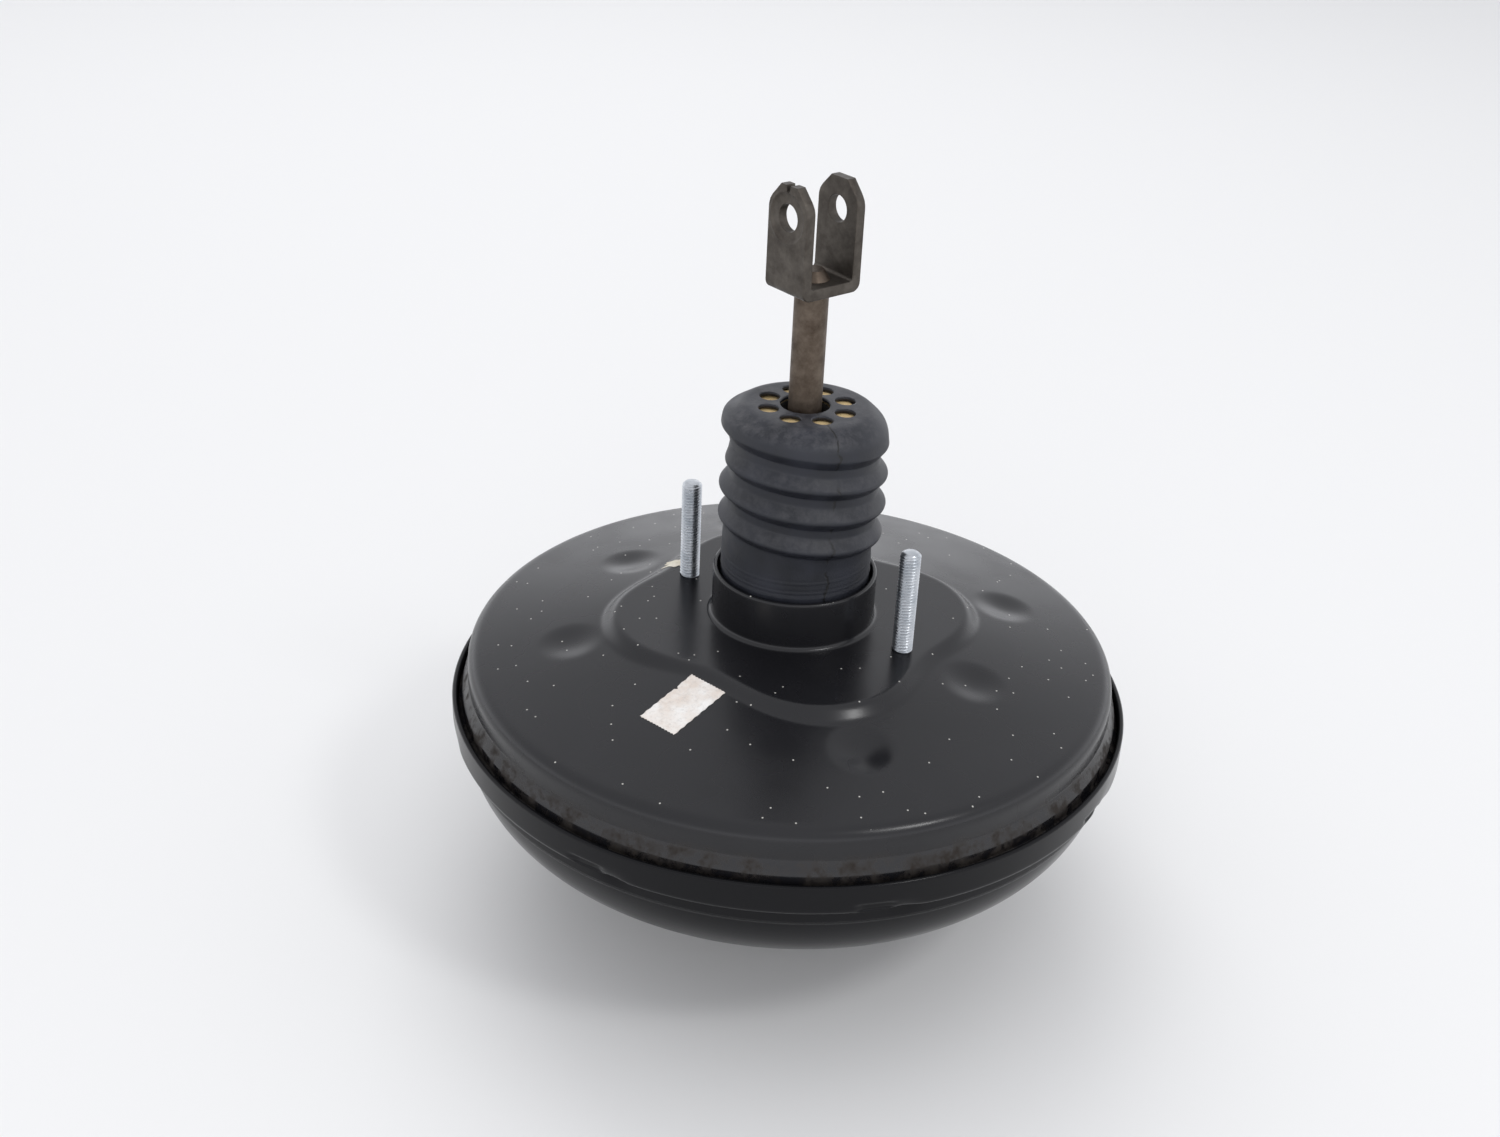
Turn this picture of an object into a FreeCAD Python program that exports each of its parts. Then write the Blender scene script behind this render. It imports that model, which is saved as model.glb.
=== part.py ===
"""Single-diaphragm vacuum brake booster, 268 mm across its rim, modelled in millimetres.

Z is the booster's axis and points towards the pedal. Z = 0 is the rear mounting face, which
bolts to the bulkhead, and X runs through the two rear studs.
"""
import FreeCAD, Part
import Sketcher
import math
import os
from FreeCAD import Placement, Rotation, Vector

doc = FreeCAD.newDocument("brake_booster")
sheet = doc.addObject("Spreadsheet::Sheet", "Sizes")

# Driving dimensions: alias, value in mm (or degrees, or a count), meaning
SIZES = [
    ("shell_wall", 2.0, "sheet thickness of both shells"),
    ("fit_gap", 0.05, "radial running clearance of a shaft in its seal or guide"),
    ("seat_gap", 0.3, "clearance between pieces that move on each other"),
    ("rim_rad", 134.0, "outer radius of the front shell's rim"),
    ("rim_top", 31.5, "depth of the rim's edge below the mounting face"),
    ("ledge_depth", 42.0, "depth of the ledge that carries the diaphragm bead"),
    ("bowl_step", 4.0, "how far the front shell's bowl lies inside its rim"),
    ("bowl_arc", 38.0, "outer radius of the bowl's rounded corner"),
    ("ring_flat", 26.0, "width of the front shell's flat ring"),
    ("boss_rad", 52.0, "radius of the front shell's mounting boss"),
    ("front_depth", 100.0, "distance between the two mounting faces"),
    ("front_bore", 16.0, "radius of the hole in the middle of the front face"),
    ("lance_count", 8, "locks pressed into the rim"),
    ("lance_long", 15.0, "length of a lock along the rim"),
    ("lance_high", 3.4, "height of a lock"),
    ("lance_deep", 1.3, "how far a lock is pressed in"),
    ("neck_rad", 32.0, "outer radius of the rear shell's neck"),
    ("neck_high", 20.0, "height of the neck above the mounting face"),
    ("neck_root", 3.0, "outer fillet at the foot of the neck"),
    ("face_rad", 58.0, "radius where the rear shell's cone starts"),
    ("face_drop", 4.2, "drop of the cone's start below the mounting face"),
    ("shoulder_drop", 14.5, "drop of the cone's outer end"),
    ("wall_step", 6.5, "how far the rear shell's side wall lies inside the rim"),
    ("shoulder_arc", 5.5, "radius of the rear shell's shoulder"),
    ("flange_gap", 0.3, "clearance of the rear shell's flange in the rim"),
    ("ledge_high", 6.0, "height of the sloping ledge above the flange's underside"),
    ("ledge_step", 2.0, "how far that ledge stands out from the side wall"),
    ("bead_thick", 4.0, "thickness of the diaphragm's clamped bead"),
    ("pad_mean", 67.2, "mean radius of the mounting platform's outline"),
    ("pad_corner", 8.2, "how far the platform's four corners reach past its sides"),
    ("pad_stretch", 2.3, "extra half length of the platform towards the studs"),
    ("pad_draft", 2.6, "how far the platform's flank spreads on its way down"),
    ("dimple_ball", 22.0, "radius of the stiffening dimples' ball"),
    ("dimple_deep", 2.4, "depth of a stiffening dimple"),
    ("dimple_near", 79.0, "radius of the two dimples in line with the studs"),
    ("dimple_far", 89.0, "radius of the four dimples at the platform's corners"),
    ("stud_rad", 4.0, "radius of an M8 stud"),
    ("stud_knurl", 4.4, "radius of a stud's press-fit knurl"),
    ("stud_head", 7.5, "radius of a stud's head"),
    ("stud_head_high", 3.0, "thickness of a stud's head"),
    ("stud_bevel", 1.0, "chamfer on a stud's end"),
    ("rear_spacing", 98.6, "distance between the rear studs"),
    ("rear_stud_long", 41.4, "height of the rear studs above the mounting face"),
    ("front_spacing", 84.0, "distance between the front studs"),
    ("front_stud_long", 25.0, "length of the front studs past the front face"),
    ("plate_thick", 2.5, "thickness of both reinforcement plates"),
    ("rear_plate_rad", 58.0, "radius of the rear reinforcement plate"),
    ("rear_plate_half", 51.0, "half width of the rear reinforcement plate across the studs"),
    ("rear_plate_bore", 27.0, "radius of the hole in the rear reinforcement plate"),
    ("front_plate_rad", 49.0, "radius of the front reinforcement plate"),
    ("tail_rad", 21.0, "outer radius of the valve body's tail"),
    ("tail_bore", 19.0, "inner radius of the valve body's tail"),
    ("tail_top", 86.0, "height of the tail's end"),
    ("hub_rad", 33.0, "radius of the valve body's flange"),
    ("hub_top", 8.5, "depth of the flange's rear face"),
    ("hub_thick", 3.5, "thickness of the valve body's flange"),
    ("nose_rad", 23.5, "radius of the valve body's nose"),
    ("nose_end", 53.0, "depth of the nose's front face"),
    ("seat_floor", 2.0, "height of the poppet chamber's floor"),
    ("seat_ring_high", 3.0, "height of the vacuum seat above that floor"),
    ("seat_ring_rad", 15.0, "outer radius of the vacuum seat"),
    ("seat_ring_wall", 1.6, "wall of the vacuum seat"),
    ("disc_rad", 14.5, "radius of the reaction disc"),
    ("disc_top", 38.0, "depth of the reaction disc's rear face"),
    ("disc_thick", 6.0, "thickness of the reaction disc"),
    ("membrane", 2.0, "thickness of the diaphragm's membrane"),
    ("roll_wall", 1.6, "thickness of the diaphragm's rolling lobe"),
    ("roll_rad", 2.5, "inner radius of the rolling lobe's turn"),
    ("dish_rad", 62.0, "radius of the diaphragm plate's flat middle"),
    ("dish_drop", 9.3, "drop of the diaphragm plate's cone"),
    ("dish_turn", 5.2, "how far the diaphragm plate's cone ends inside its skirt"),
    ("dish_wall", 1.5, "thickness of the diaphragm plate"),
    ("lobe_gap", 1.6, "clearance of the rolling lobe inside the bowl"),
    ("skirt_end", 32.5, "depth of the skirt's lower edge"),
    ("passage_rad", 1.7, "radius of the two air passages in the valve body"),
    ("passage_deep", 30.0, "depth of the air passages' lower ends"),
    ("ring_wide", 6.0, "width of the ring that holds the diaphragm on the nose"),
    ("ring_thick", 3.0, "thickness of that ring"),
    ("coil_rad", 27.0, "mean radius of the return spring"),
    ("coil_wire", 4.0, "wire diameter of the return spring"),
    ("coil_turns", 4.5, "turns of the return spring"),
    ("small_turns", 3.5, "turns of the two valve springs"),
    ("bush_high", 5.0, "height of the tail's guide bush"),
    ("lip_seal_high", 4.0, "height of the tail's seal"),
    ("lip_ring_high", 1.5, "thickness of the seal's retaining ring"),
    ("push_rad", 5.0, "radius of the output rod"),
    ("push_head", 17.0, "radius of the output rod's head"),
    ("push_head_high", 5.0, "thickness of the output rod's head"),
    ("push_reach", 4.0, "how far the output rod's shank reaches past the front face"),
    ("tip_rad", 3.5, "radius of the adjuster screw"),
    ("tip_head", 5.5, "radius of the adjuster screw's head"),
    ("tip_long", 9.0, "length of the adjuster screw below the rod"),
    ("clip_thick", 1.2, "thickness of the output rod's clip"),
    ("key_thick", 2.5, "thickness of the stop key"),
    ("key_wide", 17.0, "width of the stop key"),
    ("key_long", 70.0, "length of the stop key"),
    ("plunger_rad", 9.0, "radius of the valve plunger"),
    ("plunger_waist", 6.0, "radius of the plunger's groove"),
    ("plunger_travel", 1.5, "free travel of the plunger in the valve body"),
    ("plunger_top", 15.0, "height of the plunger's socket end"),
    ("air_seat_rad", 11.0, "radius of the plunger's air seat"),
    ("ball_rad", 6.0, "radius of the input rod's ball"),
    ("ball_high", 12.0, "height of the ball's centre"),
    ("rod_rad", 6.3, "radius of the input rod"),
    ("rod_neck", 4.0, "radius of the input rod's lower end"),
    ("rod_step", 32.0, "height where the input rod widens"),
    ("poppet_thick", 2.6, "thickness of the poppet's face"),
    ("poppet_top", 24.0, "height of the poppet's sleeve end"),
    ("collar_high", 45.0, "height of the valve spring's collar on the rod"),
    ("silencer_low", 60.0, "height of the foam silencer's lower face"),
    ("silencer_high", 13.0, "thickness of the foam silencer"),
    ("felt_high", 13.0, "thickness of the felt filter"),
    ("rod_swing", 3.0, "radial room for the rod's swing in boot, felt and foam"),
    ("boot_wall", 2.0, "wall of the boot"),
    ("boot_top", 90.0, "height of the boot's end face"),
    ("boot_end_rad", 19.8, "radius of the boot's flat end face"),
    ("boot_peak", 33.2, "radius of the boot's folds"),
    ("boot_valley", 28.6, "radius between the boot's folds"),
    ("boot_first", 76.4, "height of the boot's uppermost fold"),
    ("boot_pitch", 12.8, "distance between folds"),
    ("boot_under", 5.8, "height of a fold's underside"),
    ("boot_folds", 4, "number of folds"),
    ("boot_foot_rad", 29.0, "radius of the boot's lower sleeve"),
    ("boot_bead_high", 4.0, "height of the bead at the boot's lower end"),
    ("vent_count", 8, "breather holes in the boot's end face"),
    ("vent_rad", 4.1, "radius of a breather hole"),
    ("vent_circle", 14.9, "radius of the circle of breather holes"),
    ("fork_wide", 21.5, "width of the clevis strip"),
    ("fork_across", 25.5, "distance over the clevis ears"),
    ("fork_wall", 3.5, "thickness of the clevis strip"),
    ("fork_low", 133.5, "height of the clevis's underside"),
    ("fork_high", 39.0, "height of the clevis"),
    ("fork_bevel", 6.4, "bevel on the ears' corners"),
    ("fork_bend", 3.0, "outer radius of the clevis's two bends"),
    ("pin_rad", 5.05, "radius of the pin hole in the clevis"),
    ("pin_high", 27.5, "height of the pin hole above the clevis's underside"),
    ("pin_ring", 8.6, "radius of the coined ring round one pin hole"),
    ("pin_ring_deep", 0.4, "depth of the coined ring"),
    ("notch_wide", 2.6, "width of the notch above the coined ring"),
    ("notch_deep", 3.6, "depth of that notch"),
    ("fork_turn", 71.3, "angle of the pin's axis from X, in degrees"),
    ("port_rad", 9.5, "radius of the hole for the grommet"),
    ("grommet_flange", 13.0, "radius of the grommet's flanges"),
    ("grommet_lip", 2.4, "thickness of the grommet's flanges"),
    ("stem_rad", 6.5, "radius of the check valve's stem"),
    ("stem_bore", 3.6, "radius of the stem's bore"),
    ("can_rad", 10.5, "radius of the check valve's can"),
    ("can_bore", 8.0, "radius of the can's chamber"),
    ("can_end", 125.0, "depth of the check valve's lower end"),
    ("can_seat", 2.5, "thickness of the can's seat wall"),
    ("lid_high", 3.0, "thickness of the can's lid"),
    ("flap_rad", 6.8, "radius of the valve disc"),
    ("flap_thick", 2.0, "thickness of the valve disc"),
    ("nipple_rad", 5.0, "outer radius of the hose nipple"),
    ("nipple_bore", 3.2, "bore of the hose nipple"),
    ("nipple_long", 36.0, "reach of the nipple from the can's axis"),
    ("nipple_high", 12.0, "height of the nipple above the can's lower end"),
    ("stop_rad", 6.2, "radius of the collar that stops the hose"),
    ("stop_long", 3.0, "how far that collar stands out of the can"),
]


class Size:
    """A number together with the spreadsheet formula that it comes from."""

    def __init__(self, number, formula):
        self.number = float(number)
        self.formula = formula

    def __float__(self):
        return self.number

    def __add__(self, other):
        other = size(other)
        return Size(self.number + other.number, f"({self.formula} + {other.formula})")

    def __sub__(self, other):
        other = size(other)
        return Size(self.number - other.number, f"({self.formula} - {other.formula})")

    def __mul__(self, other):
        other = size(other)
        return Size(self.number * other.number, f"({self.formula} * {other.formula})")

    def __truediv__(self, other):
        other = size(other)
        return Size(self.number / other.number, f"({self.formula} / {other.formula})")

    def __neg__(self):
        return size(0) - self

    __radd__ = __add__
    __rmul__ = __mul__

    def __rsub__(self, other):
        return size(other) - self


def size(value):
    """The value itself if it is a Size, or else a plain number as one."""
    if isinstance(value, Size):
        return value
    return Size(value, repr(value))


class Sheet:
    """Reads a driving dimension by its alias."""

    def __init__(self):
        for row, (alias, value, meaning) in enumerate(SIZES, start=1):
            sheet.set(f"A{row}", meaning)
            sheet.set(f"B{row}", str(value))
            sheet.setAlias(f"B{row}", alias)
            setattr(self, alias, Size(value, f"Sizes.{alias}"))


d = Sheet()
doc.recompute()

# Radii, depths and places that follow from those sizes
bowl_rad = d.rim_rad - d.bowl_step
ring_rad = bowl_rad - d.bowl_arc - d.ring_flat
wall_rad = d.rim_rad - d.wall_step
port_at = bowl_rad - d.bowl_arc - d.ring_flat / 2
roll_out = d.roll_rad + d.roll_wall
skirt_rad = bowl_rad - d.shell_wall - d.lobe_gap - roll_out * 2
dish_edge = skirt_rad - d.dish_turn
push_end = d.front_depth + d.push_reach
pieces = []


# Small helpers for sketches, bodies and primitives
def keep(piece, label):
    """Names a finished sub-part and puts it on the list to write out."""
    piece.Label = label
    pieces.append(piece)
    return piece


def bind(thing, prop, value):
    """Ties one property of an object to the formula of a size."""
    thing.setExpression(prop, size(value).formula)


def origin_plane(body, role):
    return next(f for f in body.Origin.OriginFeatures if f.Role == role)


def new_body(name):
    return doc.addObject("PartDesign::Body", name + "_body")


def new_sketch(body, role):
    sketch = body.newObject("Sketcher::SketchObject", body.Name + "_sketch")
    sketch.AttachmentSupport = [(origin_plane(body, role), "")]
    sketch.MapMode = "FlatFace"
    return sketch


def pin_point(sketch, line, end, x, y):
    """Fixes one end of a sketch line at (x, y), both tied to the sheet."""
    for kind, value in (("DistanceX", x), ("DistanceY", y)):
        value = size(value)
        number = sketch.addConstraint(
            Sketcher.Constraint(kind, -1, 1, line, end, float(value)))
        sketch.setExpression(f"Constraints[{number}]", value.formula)


def arc_between(start, end, radius):
    """An arc of that radius from start to end. A negative radius bulges to the other side."""
    a, b = Vector(*start, 0), Vector(*end, 0)
    middle, chord = (a + b) / 2, b - a
    rise = math.sqrt(max(radius * radius - chord.Length ** 2 / 4, 0.0))
    side = Vector(-chord.y, chord.x, 0).normalize()
    centre = middle + side * math.copysign(rise, radius)
    circle = Part.Circle(centre, Vector(0, 0, 1), abs(radius))
    first, last = circle.parameter(a), circle.parameter(b)
    if radius < 0:
        return Part.ArcOfCircle(circle, last, first), 2, 1
    return Part.ArcOfCircle(circle, first, last), 1, 2


def outline(sketch, corners):
    """A closed outline through the corners. A corner is (x, y), or (x, y, r) where the run
    that leaves it is an arc of radius r, counter-clockwise if r is positive."""
    numbers = [(float(c[0]), float(c[1])) for c in corners]
    ends = []
    for i, corner in enumerate(corners):
        start, end = numbers[i], numbers[(i + 1) % len(numbers)]
        if len(corner) == 3:
            arc, first, last = arc_between(start, end, float(corner[2]))
            line = sketch.addGeometry(arc, False)
        else:
            first, last = 1, 2
            line = sketch.addGeometry(Part.LineSegment(Vector(*start, 0), Vector(*end, 0)), False)
        ends.append((line, first, last))
    for i, (line, first, last) in enumerate(ends):
        after, after_first, _ = ends[(i + 1) % len(ends)]
        sketch.addConstraint(Sketcher.Constraint("Coincident", line, last, after, after_first))
    for (line, first, _), corner in zip(ends, corners):
        pin_point(sketch, line, first, corner[0], corner[1])
    for (line, _, _), corner in zip(ends, corners):
        if len(corner) == 3:
            radius = size(corner[2])
            radius = -radius if float(radius) < 0 else radius
            number = sketch.addConstraint(Sketcher.Constraint("Radius", line, float(radius)))
            sketch.setExpression(f"Constraints[{number}]", radius.formula)


def turned(name, corners):
    """A body turned about Z from an outline of (radius, height) corners."""
    body = new_body(name)
    sketch = new_sketch(body, "XZ_Plane")
    outline(sketch, corners)
    turn = body.newObject("PartDesign::Revolution", name + "_turned")
    turn.Profile = sketch
    turn.ReferenceAxis = (sketch, ["V_Axis"])
    turn.Angle = 360
    doc.recompute()
    return body


def ring(name, inner, outer, low, high):
    """A plain ring about Z, or a disc where inner is 0."""
    return turned(name, [(inner, low), (outer, low), (outer, high), (inner, high)])


def round_circles(body, radius, circles):
    """Rounds the circular edges at each (radius, height) about Z."""
    base = body.Tip
    names = []
    for number, edge in enumerate(base.Shape.Edges, start=1):
        curve = edge.Curve
        if not isinstance(curve, Part.Circle) or math.hypot(curve.Center.x, curve.Center.y) > 1e-6:
            continue
        for r, z in circles:
            if abs(curve.Radius - float(r)) < 1e-4 and abs(curve.Center.z - float(z)) < 1e-4:
                names.append(f"Edge{number}")
    fillet = body.newObject("PartDesign::Fillet", body.Name + "_round")
    fillet.Base = (base, names)
    bind(fillet, "Radius", radius)
    doc.recompute()
    return fillet


def cylinder(name, radius, low, high, x=0, y=0):
    """A cylinder parallel to Z, from height low to height high."""
    solid = doc.addObject("Part::Cylinder", name)
    bind(solid, "Radius", radius)
    bind(solid, "Height", size(high) - low)
    for axis, value in (("x", x), ("y", y), ("z", low)):
        bind(solid, f"Placement.Base.{axis}", value)
    return solid


def block(name, x, y, z):
    """A box given as three (low, high) pairs."""
    solid = doc.addObject("Part::Box", name)
    for prop, axis, (low, high) in (("Length", "x", x), ("Width", "y", y), ("Height", "z", z)):
        bind(solid, prop, size(high) - low)
        bind(solid, f"Placement.Base.{axis}", low)
    return solid


def cut(name, base, *tools):
    """The base with each tool taken out of it."""
    for number, tool in enumerate(tools, start=1):
        step = doc.addObject("Part::Cut", f"{name}_cut{number}")
        step.Base, step.Tool = base, tool
        base = step
    doc.recompute()
    return base


def fuse(name, *parts):
    whole = doc.addObject("Part::MultiFuse", name + "_fused")
    whole.Shapes = list(parts)
    doc.recompute()
    return whole


def common(name, first, second):
    part = doc.addObject("Part::Common", name + "_common")
    part.Base, part.Tool = first, second
    doc.recompute()
    return part


def group(name, parts):
    """Separate solids that share one node."""
    whole = doc.addObject("Part::Compound", name + "_group")
    whole.Links = list(parts)
    doc.recompute()
    return whole


def spring(name, mean_radius, wire, low, high, turns):
    """A coil spring whose wire lies between the heights low and high. Its path is made of half
    turns: flat arcs, each tilted about the line of its ends, that meet without a kink."""
    radius, rest = float(mean_radius), float(low) + float(wire) / 2
    halves = round(float(turns) * 2)
    rise = (float(high) - float(low) - float(wire)) / halves
    arcs = []
    for i in range(halves):
        side = -1 if i % 2 else 1
        start = Vector(side * radius, 0, rest + rise * i)
        top = Vector(0, side * math.hypot(radius, rise / 2), rest + rise * (i + 0.5))
        arcs.append(Part.Arc(start, top, start + Vector(-2 * side * radius, 0, rise)).toShape())
    section = Part.makeCircle(float(wire) / 2, Vector(radius, 0, rest), Vector(0, 1, 0))
    coil = doc.addObject("Part::Feature", name + "_coil")
    coil.Shape = Part.Wire(arcs).makePipe(Part.Face(Part.Wire([section])))
    return coil


# The rear shell: a cone with a neck, a raised mounting platform and pressed dimples
def cone_height(radius, below=0):
    """Height of the rear shell's conical face at a radius, or that far below it."""
    slope = (d.shoulder_drop - d.face_drop) / (wall_rad - d.face_rad)
    return -(d.face_drop + (size(radius) - d.face_rad) * slope) - below


def platform_outline(inset, height):
    """The platform's outline at a height, moved inwards by inset: a square with soft corners
    at 45 degrees whose sides bulge, a little more towards the studs. Its radius is the mean
    plus a share that goes round once in 90 degrees and one that goes round once in 180."""
    points = []
    steps = 24
    for i in range(steps):
        angle = 2 * math.pi * i / steps
        radius = (float(d.pad_mean) - float(d.pad_corner) * math.cos(4 * angle)
                  + float(d.pad_stretch) * math.cos(2 * angle) - inset)
        points.append(Vector(radius * math.cos(angle), radius * math.sin(angle), height))
    curve = Part.BSplineCurve()
    curve.interpolate(points, PeriodicFlag=True)
    return Part.Wire([curve.toShape()])


def platform_block(name, top, inset):
    """The platform as a solid that tapers, from its face down into the cone."""
    root = float(cone_height(d.pad_mean)) - float(d.shell_wall)
    drop = float(top) - root
    spread = float(d.pad_draft) * drop / (float(d.face_drop) + float(d.shell_wall))
    solid = doc.addObject("Part::Feature", name)
    solid.Shape = Part.makeLoft(
        [platform_outline(inset - spread, root), platform_outline(inset, float(top))], True)
    return solid


def dimple_balls(name, radius):
    """The six dimples as balls: two in line with the studs, four at the platform's corners."""
    balls = []
    for degrees in (0, 45, 135, 180, 225, 315):
        reach = d.dimple_far if degrees % 90 else d.dimple_near
        centre = cone_height(reach) + d.dimple_ball - d.dimple_deep
        ball = doc.addObject("Part::Sphere", f"{name}_{degrees}")
        bind(ball, "Radius", radius)
        bind(ball, "Placement.Base.x", reach * math.cos(math.radians(degrees)))
        bind(ball, "Placement.Base.y", reach * math.sin(math.radians(degrees)))
        bind(ball, "Placement.Base.z", centre)
        balls.append(ball)
    return balls


def shell_side(name, wall):
    """The rear shell's outer side (wall 0) or its inner side, as a turned solid."""
    step = size(wall)
    floor = -(d.ledge_depth - d.bead_thick) + (0 if float(step) == 0 else -1)
    body = turned(name, [
        (0, floor), (wall_rad - step, floor),
        (wall_rad - step, cone_height(wall_rad, step)),
        (d.face_rad, -d.face_drop - step),
        (d.neck_rad - step, -d.face_drop - step),
        (d.neck_rad - step, d.neck_high + (1 if float(step) else 0)),
        (0, d.neck_high + (1 if float(step) else 0))])
    round_circles(body, d.shoulder_arc - step, [(wall_rad - step, cone_height(wall_rad, step))])
    return body


outer_side = fuse("rear_outer", shell_side("rear_outside", 0),
                  platform_block("platform_outside", 0, 0.0))
outer_side = cut("rear_outer_dimpled", outer_side, *dimple_balls("dimple_out", d.dimple_ball))
inner_side = fuse("rear_inner", shell_side("rear_inside", d.shell_wall),
                  platform_block("platform_inside", -d.shell_wall, float(d.shell_wall)))
inner_side = cut("rear_inner_dimpled", inner_side,
                 *dimple_balls("dimple_in", d.dimple_ball + d.shell_wall))
flange_low = -(d.ledge_depth - d.bead_thick)
flange_rad = d.rim_rad - d.shell_wall - d.flange_gap
rear_flange = turned("rear_flange", [
    (wall_rad - d.shell_wall, flange_low), (flange_rad, flange_low),
    (flange_rad, flange_low + d.shell_wall), (wall_rad + d.ledge_step, flange_low + d.ledge_high),
    (wall_rad, flange_low + d.ledge_high + d.ledge_step), (wall_rad - d.shell_wall, flange_low + d.shell_wall)])
rear_holes = [cylinder(f"rear_hole_{side}", d.stud_knurl, -d.shell_wall * 3, d.shell_wall,
                       x=d.rear_spacing * side / 2) for side in (-1, 1)]
rear_drawn = cut("rear_hollow", outer_side, inner_side, *rear_holes)
neck_foot = turned("neck_foot", [
    (d.neck_rad - d.shell_wall, -d.shell_wall), (d.neck_rad + d.neck_root, -d.shell_wall),
    (d.neck_rad + d.neck_root, 0, -d.neck_root), (d.neck_rad, d.neck_root),
    (d.neck_rad - d.shell_wall, d.neck_root)])
keep(fuse("rear_whole", rear_drawn, rear_flange, neck_foot), "rear_shell")


# The front shell: a bowl with a stepped rim, pressed locks and a mounting boss
def front_shell():
    wall, face = d.shell_wall, d.front_depth
    ring_low = d.ledge_depth + wall + d.bowl_arc
    body = turned("front_turned", [
        (d.rim_rad, -d.rim_top),
        (d.rim_rad - wall, -d.rim_top),
        (d.rim_rad - wall, -d.ledge_depth),
        (bowl_rad - wall, -d.ledge_depth),
        (bowl_rad - wall, -d.ledge_depth - wall, -(d.bowl_arc - wall)),
        (bowl_rad - d.bowl_arc, -ring_low + wall),
        (ring_rad - wall / 3, -ring_low + wall),
        (d.boss_rad - wall / 3, -face + wall),
        (d.front_bore, -face + wall),
        (d.front_bore, -face),
        (d.boss_rad, -face),
        (ring_rad, -ring_low),
        (bowl_rad - d.bowl_arc, -ring_low, d.bowl_arc),
        (bowl_rad, -d.ledge_depth - wall),
        (d.rim_rad, -d.ledge_depth - wall)])
    round_circles(body, wall * 1.2, [(d.rim_rad, -d.ledge_depth - wall)])
    sketch = new_sketch(body, "XZ_Plane")
    low = -d.ledge_depth - wall / 2
    outline(sketch, [
        (d.rim_rad - d.lance_deep, low), (d.rim_rad + 1, low),
        (d.rim_rad + 1, low + d.lance_high), (d.rim_rad - d.lance_deep, low + d.lance_high / 2)])
    lance = body.newObject("PartDesign::Pocket", "lance")
    lance.Profile = sketch
    lance.SideType = "Symmetric"
    bind(lance, "Length", d.lance_long)
    doc.recompute()
    locks = body.newObject("PartDesign::PolarPattern", "locks")
    locks.Originals = [lance]
    locks.Axis = (sketch, ["V_Axis"])
    locks.Angle = 360
    bind(locks, "Occurrences", d.lance_count)
    body.Tip = locks
    doc.recompute()
    holes = [cylinder(f"front_hole_{side}", d.stud_knurl, -face - wall, -face + wall * 2,
                      x=d.front_spacing * side / 2) for side in (-1, 1)]
    port = cylinder("port_hole", d.port_rad, -ring_low - wall, -ring_low + wall * 2, y=port_at)
    return cut("front_shell", body, *holes, port)


keep(front_shell(), "front_shell")


# Studs and the plates that they are pressed into
def studs(name, spacing, head_low, toward):
    """Two studs pressed through a plate and a shell. Their heads lie inside the booster."""
    pair = []
    for side in (-1, 1):
        head_top, root, tip, knurl = toward
        stud = turned(f"{name}_{side + 2}", [
            (0, head_low), (d.stud_head, head_low), (d.stud_head, head_top),
            (d.stud_knurl, head_top), (d.stud_knurl, knurl), (d.stud_rad, root),
            (d.stud_rad, tip - d.stud_bevel * sign(tip)), (d.stud_rad - d.stud_bevel, tip), (0, tip)])
        bind(stud, "Placement.Base.x", spacing * side / 2)
        pair.append(stud)
    return group(name, pair)


def sign(value):
    return 1 if float(value) > 0 else -1


rear_plate_low = -d.shell_wall - d.plate_thick
keep(studs("rear_studs", d.rear_spacing, rear_plate_low - d.stud_head_high,
           (rear_plate_low, 0, d.rear_stud_long, -d.shell_wall / 4)), "rear_mounting_studs")
front_plate_high = -d.front_depth + d.shell_wall + d.plate_thick
keep(studs("front_studs", d.front_spacing, front_plate_high + d.stud_head_high,
           (front_plate_high, -d.front_depth, -d.front_depth - d.front_stud_long,
            -d.front_depth + d.shell_wall / 4)), "master_cylinder_studs")

rear_disc = ring("rear_plate_disc", d.rear_plate_bore, d.rear_plate_rad, rear_plate_low, -d.shell_wall)
rear_strip = block("rear_plate_strip", (-d.rear_plate_rad, d.rear_plate_rad),
                   (-d.rear_plate_half, d.rear_plate_half), (rear_plate_low, -d.shell_wall))
plate_holes = [cylinder(f"rear_plate_hole_{side + 2}", d.stud_knurl, rear_plate_low, -d.shell_wall,
                        x=d.rear_spacing * side / 2) for side in (-1, 1)]
keep(cut("rear_plate", common("rear_plate", rear_disc, rear_strip), *plate_holes),
     "rear_reinforcement_plate")
plate_holes = [cylinder(f"front_plate_hole_{side + 2}", d.stud_knurl,
                        front_plate_high - d.plate_thick, front_plate_high,
                        x=d.front_spacing * side / 2) for side in (-1, 1)]
keep(cut("front_plate", ring("front_plate_disc", d.front_bore, d.front_plate_rad,
                             front_plate_high - d.plate_thick, front_plate_high), *plate_holes),
     "front_reinforcement_plate")


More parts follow.
